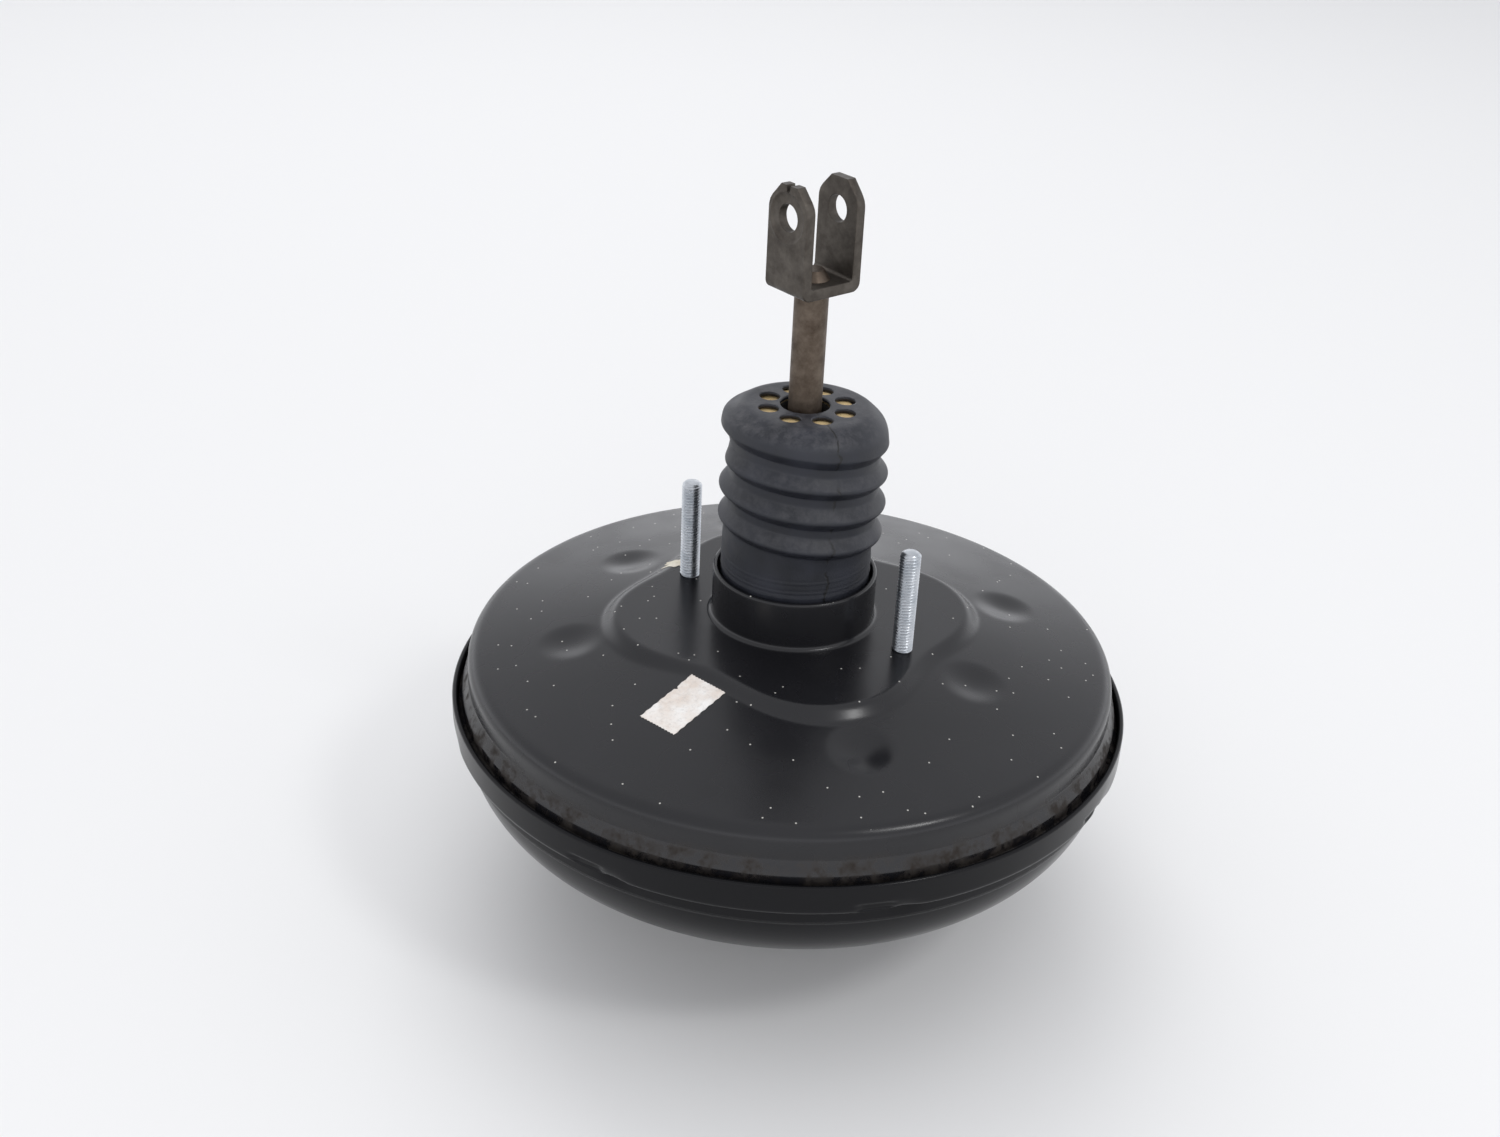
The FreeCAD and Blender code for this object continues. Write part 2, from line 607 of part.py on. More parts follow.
# Guide bush, seal and retaining ring in the neck
neck_bore = d.neck_rad - d.shell_wall
slide_bore = d.tail_rad + d.fit_gap
bush_top = -d.shell_wall + d.bush_high
seal_top = bush_top + d.lip_seal_high
lip_top = seal_top + d.lip_ring_high
keep(ring("guide_bush", slide_bore, neck_bore, -d.shell_wall, bush_top), "guide_bush")
keep(turned("neck_seal", [
    (slide_bore, bush_top), (neck_bore, bush_top), (neck_bore, seal_top),
    (neck_bore - d.shell_wall, seal_top), (neck_bore - d.shell_wall, bush_top + d.shell_wall),
    (slide_bore + d.shell_wall, bush_top + d.shell_wall), (slide_bore + d.shell_wall, seal_top),
    (slide_bore, seal_top)]), "neck_seal")
keep(ring("seal_ring", d.tail_rad + d.plate_thick, neck_bore, seal_top, lip_top), "neck_seal_retainer")


# The rubber boot: a bead in the neck, a smooth sleeve, folds and a domed end with breather holes
def boot():
    bead_top = lip_top + d.boot_bead_high
    hole = d.rod_rad + d.rod_swing
    outside, inside, peaks, dips = [], [], [], []
    for i in range(int(float(d.boot_folds))):
        crest = d.boot_first - d.boot_pitch * i
        dip = crest - d.boot_under
        foot = i == int(float(d.boot_folds)) - 1
        reach = d.boot_foot_rad if foot else d.boot_valley
        outside += [(d.boot_peak, crest), (reach, dip)]
        inside += [(d.boot_peak - d.boot_wall, crest), (reach - d.boot_wall, dip)]
        peaks.append((d.boot_peak, crest))
        if not foot:
            dips.append((d.boot_valley, dip))
    dome = d.boot_top - d.boot_first + d.boot_wall
    corners = [(hole, d.boot_top - d.boot_wall), (d.boot_end_rad - d.boot_wall / 4, d.boot_top - d.boot_wall,
                                                 -(dome - d.boot_wall))]
    corners += inside
    corners += [(d.boot_foot_rad - d.boot_wall, lip_top), (neck_bore, lip_top), (neck_bore, bead_top),
                (d.boot_foot_rad, bead_top)]
    corners += outside[::-1]
    corners[-1] = (*corners[-1], dome)
    corners += [(d.boot_end_rad, d.boot_top), (hole, d.boot_top)]
    body = turned("boot", corners)
    round_circles(body, d.boot_wall * 1.4, peaks[1:])
    round_circles(body, d.boot_wall * 0.7, dips)
    vent = new_sketch(body, "XY_Plane")
    circle = vent.addGeometry(Part.Circle(Vector(float(d.vent_circle), 0, 0), Vector(0, 0, 1),
                                          float(d.vent_rad)), False)
    pin_point(vent, circle, 3, d.vent_circle, 0)
    number = vent.addConstraint(Sketcher.Constraint("Radius", circle, float(d.vent_rad)))
    vent.setExpression(f"Constraints[{number}]", d.vent_rad.formula)
    bind(vent, "AttachmentOffset.Base.z", d.boot_top - d.boot_wall * 2)
    hole_cut = body.newObject("PartDesign::Pocket", "vent")
    hole_cut.Profile = vent
    hole_cut.Reversed = True
    bind(hole_cut, "Length", d.boot_wall * 3)
    doc.recompute()
    vents = body.newObject("PartDesign::PolarPattern", "vents")
    vents.Originals = [hole_cut]
    vents.Axis = (vent, ["N_Axis"])
    vents.Angle = 360
    bind(vents, "Occurrences", d.vent_count)
    body.Tip = vents
    doc.recompute()
    return body


keep(boot(), "rubber_boot")


# The valve body: tail, flange and nose, with its bores, the key slot and two air passages
hub_front = -d.hub_top - d.hub_thick
head_bore = d.push_head + d.seat_gap
disc_bore = d.disc_rad + d.fit_gap
plunger_bore = d.plunger_rad + d.fit_gap
disc_front = -d.disc_top - d.disc_thick
vacuum_seat = d.seat_floor + d.seat_ring_high
key_top = rear_plate_low - d.seat_gap
key_low = key_top - d.key_thick
core = turned("valve_core", [
    (d.tail_bore, d.tail_top), (d.tail_bore, d.seat_floor),
    (d.seat_ring_rad, d.seat_floor), (d.seat_ring_rad, vacuum_seat),
    (d.seat_ring_rad - d.seat_ring_wall, vacuum_seat), (d.seat_ring_rad - d.seat_ring_wall, d.seat_floor),
    (plunger_bore, d.seat_floor), (plunger_bore, -d.disc_top), (disc_bore, -d.disc_top),
    (disc_bore, disc_front), (head_bore, disc_front), (head_bore, -d.nose_end),
    (d.nose_rad, -d.nose_end), (d.nose_rad, hub_front), (d.hub_rad, hub_front),
    (d.hub_rad, -d.hub_top), (d.tail_rad, -d.hub_top), (d.tail_rad, d.tail_top)])
key_slot = block("key_slot", (-d.hub_rad - d.key_thick, d.hub_rad + d.key_thick),
                 (-d.key_wide / 2 - d.seat_gap, d.key_wide / 2 + d.seat_gap),
                 (key_low - d.plunger_travel - d.seat_gap, key_top + d.seat_gap))
passages = [cylinder(f"passage_{side + 2}", d.passage_rad, -d.passage_deep, d.seat_floor + d.seat_gap,
                     y=(d.tail_bore + d.seat_ring_rad) / 2 * side) for side in (-1, 1)]
outlets = []
for side in (-1, 1):
    low = -d.passage_deep
    span = (d.seat_ring_rad, d.nose_rad + d.shell_wall)
    outlets.append(block(f"outlet_{side + 2}", (-d.passage_rad, d.passage_rad),
                         span if side > 0 else (-span[1], -span[0]), (low, low + d.passage_rad * 2)))
keep(cut("valve_body", core, key_slot, *passages, *outlets), "valve_body")

keep(ring("reaction_disc", 0, d.disc_rad, disc_front, -d.disc_top), "reaction_disc")
head_front = disc_front - d.push_head_high
keep(turned("output_rod", [
    (0, disc_front), (d.push_head, disc_front), (d.push_head, head_front),
    (d.push_rad + d.push_rad / 2, head_front), (d.push_rad, head_front - d.push_rad / 2),
    (d.push_rad, -push_end), (0, -push_end)]), "output_rod")
keep(turned("adjuster", [
    (0, -push_end), (d.tip_head, -push_end), (d.tip_head, -push_end - d.tip_long / 2),
    (d.tip_rad, -push_end - d.tip_long / 2), (d.tip_rad, -push_end - d.tip_long + d.stud_bevel),
    (d.tip_rad - d.stud_bevel, -push_end - d.tip_long), (0, -push_end - d.tip_long)]),
    "output_rod_adjuster")
clip = ring("clip_ring", d.push_head - d.stud_head, head_bore, head_front - d.clip_thick, head_front)
clip_gap = block("clip_gap", (0, head_bore * 2), (-d.clip_thick, d.clip_thick),
                 (head_front - d.clip_thick * 2, head_front + d.clip_thick))
keep(cut("clip", clip, clip_gap), "output_rod_retainer")


# Diaphragm plate, rolling diaphragm and the ring that holds both on the nose
dish_top = hub_front - d.membrane
dish_low = dish_top - d.dish_drop
skirt_bend = d.dish_turn
skirt_top = dish_low - skirt_bend
lobe_low = -d.ledge_depth - d.shell_wall
lobe_mid = skirt_rad + roll_out
lobe_out = lobe_mid + d.roll_rad
keep(turned("dish", [
    (d.nose_rad, dish_top), (d.nose_rad, dish_top - d.dish_wall), (d.dish_rad, dish_top - d.dish_wall),
    (dish_edge, dish_low - d.dish_wall), (skirt_rad - d.dish_wall, skirt_top),
    (skirt_rad - d.dish_wall, -d.skirt_end), (skirt_rad, -d.skirt_end), (skirt_rad, skirt_top),
    (dish_edge, dish_low), (d.dish_rad, dish_top)]), "diaphragm_plate")
keep(turned("diaphragm", [
    (d.nose_rad, hub_front), (d.nose_rad, dish_top), (d.dish_rad, dish_top), (dish_edge, dish_low),
    (skirt_rad, skirt_top), (skirt_rad, lobe_low, roll_out),
    (lobe_mid, lobe_low - roll_out, roll_out),
    (lobe_out + d.roll_wall, lobe_low), (lobe_out + d.roll_wall, -d.ledge_depth),
    (flange_rad, -d.ledge_depth), (flange_rad, flange_low), (lobe_out, flange_low),
    (lobe_out, lobe_low, -d.roll_rad), (lobe_mid, lobe_low - d.roll_rad, -d.roll_rad),
    (skirt_rad + d.roll_wall, lobe_low),
    (skirt_rad + d.roll_wall, skirt_top), (dish_edge, dish_low + d.membrane),
    (d.dish_rad, hub_front)]), "diaphragm")
ring_low = dish_top - d.dish_wall - d.ring_thick
keep(ring("hold_ring", d.nose_rad, d.nose_rad + d.ring_wide, ring_low, dish_top - d.dish_wall),
     "diaphragm_retainer")
keep(spring("return_spring", d.coil_rad, d.coil_wire, front_plate_high, ring_low, d.coil_turns),
     "return_spring")


# Front seal round the output rod, in its pressed support
cup_top = front_plate_high + d.dish_wall + d.lip_seal_high
cup_rad = d.coil_rad - d.coil_wire / 2 - d.seat_gap * 2
keep(turned("seal_support", [
    (d.push_rad + d.dish_wall, front_plate_high), (cup_rad, front_plate_high),
    (cup_rad, front_plate_high + d.dish_wall), (d.front_bore, front_plate_high + d.dish_wall),
    (d.front_bore, cup_top), (d.front_bore - d.dish_wall, cup_top),
    (d.front_bore - d.dish_wall, front_plate_high + d.dish_wall),
    (d.push_rad + d.dish_wall, front_plate_high + d.dish_wall)]), "front_seal_support")
keep(ring("front_seal", d.push_rad + d.fit_gap, d.front_bore - d.dish_wall,
          front_plate_high + d.dish_wall, cup_top), "front_seal")


# Control valve: plunger with its air seat, stop key, poppet, springs, foam and felt
air_seat = vacuum_seat + d.seat_gap
plunger = turned("plunger", [
    (0, -d.disc_top + d.plunger_travel + d.seat_gap),
    (d.plunger_rad, -d.disc_top + d.plunger_travel + d.seat_gap),
    (d.plunger_rad, key_low - d.fit_gap), (d.plunger_waist, key_low - d.fit_gap),
    (d.plunger_waist, key_top + d.fit_gap), (d.plunger_rad, key_top + d.fit_gap),
    (d.plunger_rad, d.seat_floor + d.plunger_travel + d.seat_gap), (d.air_seat_rad, air_seat),
    (d.plunger_rad, air_seat), (d.plunger_rad, d.plunger_top), (0, d.plunger_top)])
socket = doc.addObject("Part::Sphere", "socket_ball")
bind(socket, "Radius", d.ball_rad + d.fit_gap)
bind(socket, "Placement.Base.z", d.ball_high)
keep(cut("plunger_socket", plunger, socket), "valve_plunger")
key_bar = block("key_bar", (-d.key_long / 2, d.key_long / 2), (-d.key_wide / 2, d.key_wide / 2),
                (key_low, key_top))
key_mouth = block("key_mouth", (0, d.key_long / 2), (-d.plunger_waist - d.fit_gap, d.plunger_waist + d.fit_gap),
                  (key_low, key_top))
keep(cut("key", key_bar, key_mouth, cylinder("key_round", d.plunger_waist + d.fit_gap, key_low, key_top)),
     "stop_key")
poppet_low = air_seat + d.seat_gap
poppet_bore = d.plunger_rad + d.seat_gap
poppet_rad = d.seat_ring_rad + d.seat_ring_wall / 2
keep(turned("poppet", [
    (poppet_bore, poppet_low), (poppet_rad, poppet_low), (poppet_rad, d.poppet_top - d.poppet_thick),
    (d.tail_bore, d.poppet_top - d.poppet_thick), (d.tail_bore, d.poppet_top),
    (poppet_rad - d.poppet_thick, d.poppet_top), (poppet_rad - d.poppet_thick, poppet_low + d.poppet_thick),
    (poppet_bore, poppet_low + d.poppet_thick)]), "poppet_valve")
retainer_top = d.poppet_top + d.poppet_thick
keep(ring("poppet_ring", d.air_seat_rad - d.dish_wall, d.tail_bore, d.poppet_top, retainer_top),
     "poppet_retainer")
keep(spring("poppet_spring", (poppet_rad - d.poppet_thick + poppet_bore) / 2, d.clip_thick,
            poppet_low + d.poppet_thick, d.poppet_top, d.small_turns), "poppet_spring")
keep(spring("input_spring", d.seat_ring_rad - d.poppet_thick, d.dish_wall, retainer_top,
            d.collar_high - d.shell_wall, d.small_turns), "input_return_spring")
rod_hole = d.rod_rad + d.rod_swing
felt_low = d.silencer_low + d.silencer_high
keep(ring("foam", rod_hole, d.tail_bore, d.silencer_low, felt_low), "air_silencer")
keep(ring("felt", rod_hole, d.tail_bore, felt_low, felt_low + d.felt_high), "air_filter")


# Input rod with its ball, a waist, a spring collar and a riveted end
rod_body = turned("rod", [
    (0, d.ball_high), (d.rod_neck, d.ball_high), (d.rod_neck, d.rod_step - d.rod_rad),
    (d.rod_rad, d.rod_step), (d.rod_rad, d.fork_low), (d.rod_neck, d.fork_low),
    (d.rod_neck, d.fork_low + d.fork_wall + d.fit_gap), (d.rod_rad, d.fork_low + d.fork_wall + d.fit_gap),
    (d.rod_neck, d.fork_low + d.fork_wall * 2), (0, d.fork_low + d.fork_wall * 2)])
ball = doc.addObject("Part::Sphere", "rod_ball")
bind(ball, "Radius", d.ball_rad)
bind(ball, "Placement.Base.z", d.ball_high)
keep(fuse("input_rod", rod_body, ball), "input_rod")
keep(ring("spring_collar", d.rod_rad, d.seat_ring_rad, d.collar_high - d.shell_wall, d.collar_high),
     "spring_collar")


# The clevis: a strip bent to a U, its ears' corners bevelled, one pin hole coined and notched
def clevis():
    half, top = d.fork_across / 2, d.fork_low + d.fork_high
    inner = half - d.fork_wall
    bend = new_body("fork_bend")
    profile = new_sketch(bend, "XZ_Plane")
    outline(profile, [
        (-half, top), (-half, d.fork_low + d.fork_bend, d.fork_bend), (-half + d.fork_bend, d.fork_low),
        (half - d.fork_bend, d.fork_low, d.fork_bend), (half, d.fork_low + d.fork_bend), (half, top),
        (inner, top), (inner, d.fork_low + d.fork_wall), (-inner, d.fork_low + d.fork_wall), (-inner, top)])
    pad = bend.newObject("PartDesign::Pad", "fork_strip")
    pad.Profile = profile
    pad.SideType = "Symmetric"
    bind(pad, "Length", d.fork_wide)
    doc.recompute()
    side = new_body("fork_side")
    ear = new_sketch(side, "YZ_Plane")
    wide = d.fork_wide / 2
    outline(ear, [
        (-wide, d.fork_low), (wide, d.fork_low), (wide, top - d.fork_bevel),
        (wide - d.fork_bevel, top), (-wide + d.fork_bevel, top), (-wide, top - d.fork_bevel)])
    pad = side.newObject("PartDesign::Pad", "fork_ears")
    pad.Profile = ear
    pad.SideType = "Symmetric"
    bind(pad, "Length", d.fork_across)
    doc.recompute()
    pin_at = d.fork_low + d.pin_high
    pin = cylinder("pin_hole", d.pin_rad, 0, d.fork_across * 2)
    pin.Placement = Placement(Vector(), Rotation(Vector(0, 1, 0), 90))
    bind(pin, "Placement.Base.x", -d.fork_across)
    bind(pin, "Placement.Base.z", pin_at)
    coin = cylinder("pin_coin", d.pin_ring, 0, d.pin_ring_deep * 2)
    coin.Placement = Placement(Vector(), Rotation(Vector(0, 1, 0), 90))
    bind(coin, "Placement.Base.x", -half - d.pin_ring_deep)
    bind(coin, "Placement.Base.z", pin_at)
    notch = block("fork_notch", (-half - d.pin_ring_deep, -half + d.pin_ring_deep * 2),
                  (-d.notch_wide / 2, d.notch_wide / 2), (top - d.notch_deep, top + d.notch_deep))
    base_hole = cylinder("fork_base_hole", d.rod_neck + d.fit_gap, d.fork_low - d.fork_wall,
                         d.fork_low + d.fork_wall * 2)
    fork = cut("clevis", common("clevis", bend, side), pin, coin, notch, base_hole)
    fork.Placement = Placement(Vector(), Rotation(Vector(0, 0, 1), float(d.fork_turn)))
    return fork


keep(clevis(), "clevis")


# The check valve in its grommet on the front face
port_face = -(d.ledge_depth + d.shell_wall + d.bowl_arc)
lip_out = port_face - d.grommet_lip
lip_in = port_face + d.shell_wall + d.grommet_lip
can_top = lip_out - d.seat_gap
chamber_top = can_top - d.can_seat
lid_top = -d.can_end + d.lid_high
nipple_at = -d.can_end + d.nipple_high


def at_port(piece):
    bind(piece, "Placement.Base.y", port_at)
    return piece


keep(at_port(turned("grommet", [
    (d.stem_rad + d.fit_gap, lip_out), (d.grommet_flange, lip_out), (d.grommet_flange, port_face),
    (d.port_rad, port_face), (d.port_rad, port_face + d.shell_wall),
    (d.grommet_flange, port_face + d.shell_wall), (d.port_rad + d.seat_gap, lip_in),
    (d.stem_rad + d.fit_gap, lip_in)])), "check_valve_grommet")
can = at_port(turned("can", [
    (d.stem_bore, lip_in + d.grommet_lip), (d.stem_bore, chamber_top), (d.can_bore, chamber_top),
    (d.can_bore, lid_top), (d.can_rad, lid_top), (d.can_rad, can_top), (d.stem_rad, can_top),
    (d.stem_rad, lip_in + d.seat_gap), (d.stem_rad + d.seat_gap * 2, lip_in + d.seat_gap),
    (d.stem_rad - d.seat_gap * 2, lip_in + d.grommet_lip)]))
tube = at_port(turned("nipple", [
    (0, d.can_bore + d.seat_gap), (d.stop_rad, d.can_bore + d.seat_gap),
    (d.stop_rad, d.can_rad + d.stop_long), (d.nipple_rad, d.can_rad + d.stop_long),
    (d.nipple_rad, d.nipple_long - d.stud_bevel), (d.nipple_rad - d.stud_bevel, d.nipple_long),
    (0, d.nipple_long)]))
tube.Placement = Placement(Vector(0, float(port_at), 0), Rotation(Vector(1, 0, 0), -90))
at_port(tube)
bind(tube, "Placement.Base.z", nipple_at)
bore = at_port(cylinder("nipple_bore", d.nipple_bore, 0, d.nipple_long * 2))
bore.Placement = Placement(Vector(0, float(port_at), 0), Rotation(Vector(1, 0, 0), -90))
at_port(bore)
bind(bore, "Placement.Base.z", nipple_at)
keep(cut("check_valve", fuse("check_valve", can, tube), bore), "check_valve_body")
post_top = chamber_top - d.seat_gap - d.flap_thick - d.can_bore - d.flap_thick
keep(at_port(turned("lid", [
    (0, -d.can_end), (d.can_rad - d.stud_bevel, -d.can_end), (d.can_rad, -d.can_end + d.stud_bevel),
    (d.can_rad, lid_top), (d.can_bore - d.fit_gap, lid_top), (d.can_bore - d.fit_gap, lid_top + d.flap_thick),
    (d.nipple_rad, lid_top + d.flap_thick), (d.nipple_rad, post_top), (0, post_top)])),
    "check_valve_lid")
flap_low = chamber_top - d.seat_gap - d.flap_thick
keep(at_port(ring("flap", 0, d.flap_rad, flap_low, chamber_top - d.seat_gap)), "check_valve_disc")
small = spring("check_spring", d.nipple_rad - d.clip_thick, d.clip_thick / 2 + d.seat_gap, post_top, flap_low, d.small_turns)
keep(at_port(group("check_spring", [small])), "check_valve_spring")


# Checks, then one STEP file for each sub-part
doc.recompute()
for thing in doc.Objects:
    if {"Invalid", "Error"} & set(thing.State):
        raise RuntimeError(f"{thing.Name} ({thing.Label}) failed: {thing.State}")
os.makedirs("parts", exist_ok=True)
for piece in pieces:
    shape = piece.Shape
    if shape.isNull() or not shape.isValid() or not shape.Solids:
        raise RuntimeError(f"{piece.Label} has no valid solid")
    shape.exportStep(f"parts/{piece.Label}.step")
    box = shape.BoundBox
    print(f"{piece.Label:28s} {len(shape.Solids)} solid, {shape.Volume:9.0f} mm3, "
          f"z {box.ZMin:7.1f} to {box.ZMax:6.1f}")
print(len(pieces), "sub-parts written")
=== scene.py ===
# %% [markdown]
# # A vacuum brake booster on a pale workshop floor
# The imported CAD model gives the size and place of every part. This script adds what the
# photograph shows on top of it: smooth pressed sheet, threads, a sagging rubber boot, grime,
# dust and a blank paper label. Lengths are in metres, and Z is the booster's axis.

# %% Load the frame
import math

import bpy
import numpy as np
from mathutils import Matrix, Vector


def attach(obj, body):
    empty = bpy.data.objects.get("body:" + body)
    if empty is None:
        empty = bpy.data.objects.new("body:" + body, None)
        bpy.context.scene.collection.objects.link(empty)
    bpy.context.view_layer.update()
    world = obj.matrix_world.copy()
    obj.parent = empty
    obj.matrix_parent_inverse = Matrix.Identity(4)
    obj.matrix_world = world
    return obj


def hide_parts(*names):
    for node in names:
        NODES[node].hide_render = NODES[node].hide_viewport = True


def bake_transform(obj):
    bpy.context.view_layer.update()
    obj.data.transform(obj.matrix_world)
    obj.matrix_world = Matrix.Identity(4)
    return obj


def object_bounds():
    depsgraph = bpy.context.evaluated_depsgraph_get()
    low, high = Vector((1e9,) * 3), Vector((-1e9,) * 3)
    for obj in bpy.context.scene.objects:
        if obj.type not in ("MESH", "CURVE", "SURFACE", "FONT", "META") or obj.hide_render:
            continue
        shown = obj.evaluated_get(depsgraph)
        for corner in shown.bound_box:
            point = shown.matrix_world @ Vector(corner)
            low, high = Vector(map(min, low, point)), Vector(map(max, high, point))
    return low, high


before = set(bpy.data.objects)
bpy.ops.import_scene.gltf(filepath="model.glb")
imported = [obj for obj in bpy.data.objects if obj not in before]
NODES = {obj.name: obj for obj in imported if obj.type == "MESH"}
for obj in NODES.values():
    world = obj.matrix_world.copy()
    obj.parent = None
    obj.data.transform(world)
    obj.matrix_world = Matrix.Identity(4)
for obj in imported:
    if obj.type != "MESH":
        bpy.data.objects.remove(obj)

CAD_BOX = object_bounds()
MM = 0.001
print("CAD box", CAD_BOX)

# %% [markdown]
# ## Camera
# The camera's place comes from the photograph: the two studs, the rim's ellipse and the rod fix
# its height, its distance and a small roll. Its three axes are written as rows: right, up, back.

# %% Camera
RIGHT = Vector((0.83962, 0.54155, 0.04202)).normalized()
BACK = Vector((0.46016, -0.75026, 0.47472)).normalized()
UP = BACK.cross(RIGHT)
RIGHT = UP.cross(BACK)
camera_data = bpy.data.cameras.new("camera")
camera = bpy.data.objects.new("camera", camera_data)
bpy.context.scene.collection.objects.link(camera)
turn = Matrix((RIGHT, UP, BACK)).transposed().to_4x4()
camera.matrix_world = Matrix.Translation(Vector((300.4, -523.25, 342.8)) * MM) @ turn
camera_data.sensor_width = 36.0
camera_data.lens = 42.08
camera_data.clip_start = 0.01
bpy.context.scene.camera = camera
print("camera at", camera.location[:])

# %% [markdown]
# ## Colours and node materials
# A colour is written as its sRGB hex code, as in any paint program, and one function turns it
# into the linear values that Blender computes with. Materials are built from nodes in code, so
# that nothing has to be drawn or loaded.

# %% Colours and node materials
def linear(code):
    """A hex sRGB colour as linear RGBA."""
    parts = [int(code[i:i + 2], 16) / 255 for i in (1, 3, 5)]
    return (*[c / 12.92 if c <= 0.04045 else ((c + 0.055) / 1.055) ** 2.4 for c in parts], 1.0)


def new_material(name):
    """A node material with a plain shader. Returns it with a function that adds nodes and one
    that sets a socket of the shader or links it."""
    material = bpy.data.materials.new(name)
    material.use_nodes = True
    nodes, links = material.node_tree.nodes, material.node_tree.links
    shader = nodes["Principled BSDF"]

    def add(kind, inputs=None, **settings):
        node = nodes.new("ShaderNode" + kind)
        for key, value in settings.items():
            setattr(node, key, value)
        for key, value in (inputs or {}).items():
            if hasattr(value, "is_output"):
                links.new(value, node.inputs[key])
            else:
                node.inputs[key].default_value = value
        return node

    def to_shader(socket, value):
        if hasattr(value, "is_output"):
            links.new(value, shader.inputs[socket])
        else:
            shader.inputs[socket].default_value = value

    return material, add, to_shader

# %% [markdown]
# ## Floor and light
# The booster stands in a bright, even room. A white sky gives most of the light. A large lamp
# overhead, one at the back left and one at the front add soft shape, and a small ceiling panel
# leaves the short highlights in the paint. The floor is pale grey, so that it renders nearly
# white and keeps the booster's soft shadow.

# %% Floor
FLOOR_Z = CAD_BOX[0][2]
FLOOR_HALF = 6.0
floor_mesh = bpy.data.meshes.new("floor")
floor_mesh.from_pydata([(x * FLOOR_HALF, y * FLOOR_HALF, FLOOR_Z)
                        for x, y in ((-1, -1), (1, -1), (1, 1), (-1, 1))], [], [(0, 1, 2, 3)])
floor = bpy.data.objects.new("floor", floor_mesh)
bpy.context.scene.collection.objects.link(floor)
material, add, to_shader = new_material("pale_floor")
to_shader("Base Color", linear("#ececec"))
to_shader("Roughness", 0.6)
floor_mesh.materials.append(material)

print("floor at", FLOOR_Z)

# %% Room light
world = bpy.data.worlds.new("room")
bpy.context.scene.world = world
world.use_nodes = True


def room_light(low=1.5, high=0.92, diffuse=0.70):
    """Even light of strength diffuse for matt surfaces. Shiny paint sees the room: strength low
    near the horizon, like the pale walls, and high above about 29 degrees, like the ceiling."""
    nodes, links = world.node_tree.nodes, world.node_tree.links
    way = nodes.new("ShaderNodeTexCoord")
    parts = nodes.new("ShaderNodeSeparateXYZ")
    links.new(way.outputs["Generated"], parts.inputs[0])
    fall = nodes.new("ShaderNodeMapRange")
    fall.interpolation_type = "SMOOTHSTEP"
    for key, value in (("From Min", 0.14), ("From Max", 0.48), ("To Min", low), ("To Max", high)):
        fall.inputs[key].default_value = value
    links.new(parts.outputs["Z"], fall.inputs["Value"])
    path = nodes.new("ShaderNodeLightPath")
    pick = nodes.new("ShaderNodeMix")
    pick.data_type = "FLOAT"
    links.new(path.outputs["Is Glossy Ray"], pick.inputs[0])
    pick.inputs[2].default_value = diffuse
    links.new(fall.outputs["Result"], pick.inputs[3])
    links.new(pick.outputs[0], nodes["Background"].inputs["Strength"])
    nodes["Background"].inputs["Color"].default_value = linear("#fafbff")


room_light()


# %% Lamps
def area_lamp(name, place, aim, size, power):
    """A square soft lamp at a place, turned to face a point."""
    data = bpy.data.lights.new(name, "AREA")
    data.shape = "SQUARE"
    data.size = size
    data.energy = power
    lamp = bpy.data.objects.new(name, data)
    lamp.location = place
    lamp.rotation_euler = (Vector(aim) - Vector(place)).to_track_quat("-Z", "Y").to_euler()
    bpy.context.scene.collection.objects.link(lamp)
    return lamp


area_lamp("overhead", (0, 0, 2.6), (0, 0, 0), 2.5, 9).visible_glossy = False
area_lamp("far_window", (-1.2, 1.2, 1.9), (0, 0, 0), 1.8, 15).visible_glossy = False
area_lamp("near_fill", (0.9, -1.9, 0.7), (0.1, -0.3, -0.12), 1.8, 15).visible_glossy = False
area_lamp("ceiling_panel", (1.5, -0.2, 1.7), (0, 0, 0), 0.4, 8)
bpy.context.scene.view_settings.view_transform = "Standard"

# %% [markdown]
# ## Surfaces from formulas
# Most pieces here are one grid of points, swept or turned, so one function makes the mesh from
# the grid. A closed profile turned round the axis gives a closed skin with outward faces.

# %% Meshes from grids
def grid_piece(name, points, close_u=True, close_v=True, material=None, body=None, stands_for=()):
    """A mesh from a grid of points (rows u, columns v, 3). Each cell is one quad; close_u and
    close_v join the last row or column to the first."""
    rows, columns = points.shape[:2]
    index = np.arange(rows * columns).reshape(rows, columns)
    u = np.arange(rows if close_u else rows - 1)
    v = np.arange(columns if close_v else columns - 1)
    u, v = np.meshgrid(u, v, indexing="ij")
    up, right = (u + 1) % rows, (v + 1) % columns
    quads = np.stack([index[u, v], index[u, right], index[up, right], index[up, v]], -1)
    return mesh_piece(name, points.reshape(-1, 3), quads.reshape(-1, 4), material, body,
                      stands_for)


def mesh_piece(name, vertices, faces, material=None, body=None, stands_for=()):
    """A smooth-shaded mesh object from vertices and faces. It rides on a CAD body, if one is
    given, and hides the CAD nodes that it stands for."""
    mesh = bpy.data.meshes.new(name)
    mesh.from_pydata([list(v) for v in vertices], [], [list(f) for f in faces])
    mesh.validate()
    mesh.polygons.foreach_set("use_smooth", [True] * len(mesh.polygons))
    piece = bpy.data.objects.new(name, mesh)
    bpy.context.scene.collection.objects.link(piece)
    if material is not None:
        mesh.materials.append(material)
    if body:
        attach(piece, body)
    if stands_for:
        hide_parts(*stands_for)
    print(f"{name}: {len(mesh.polygons)} faces, {'rides on ' + body if body else 'bends'}")
    return piece


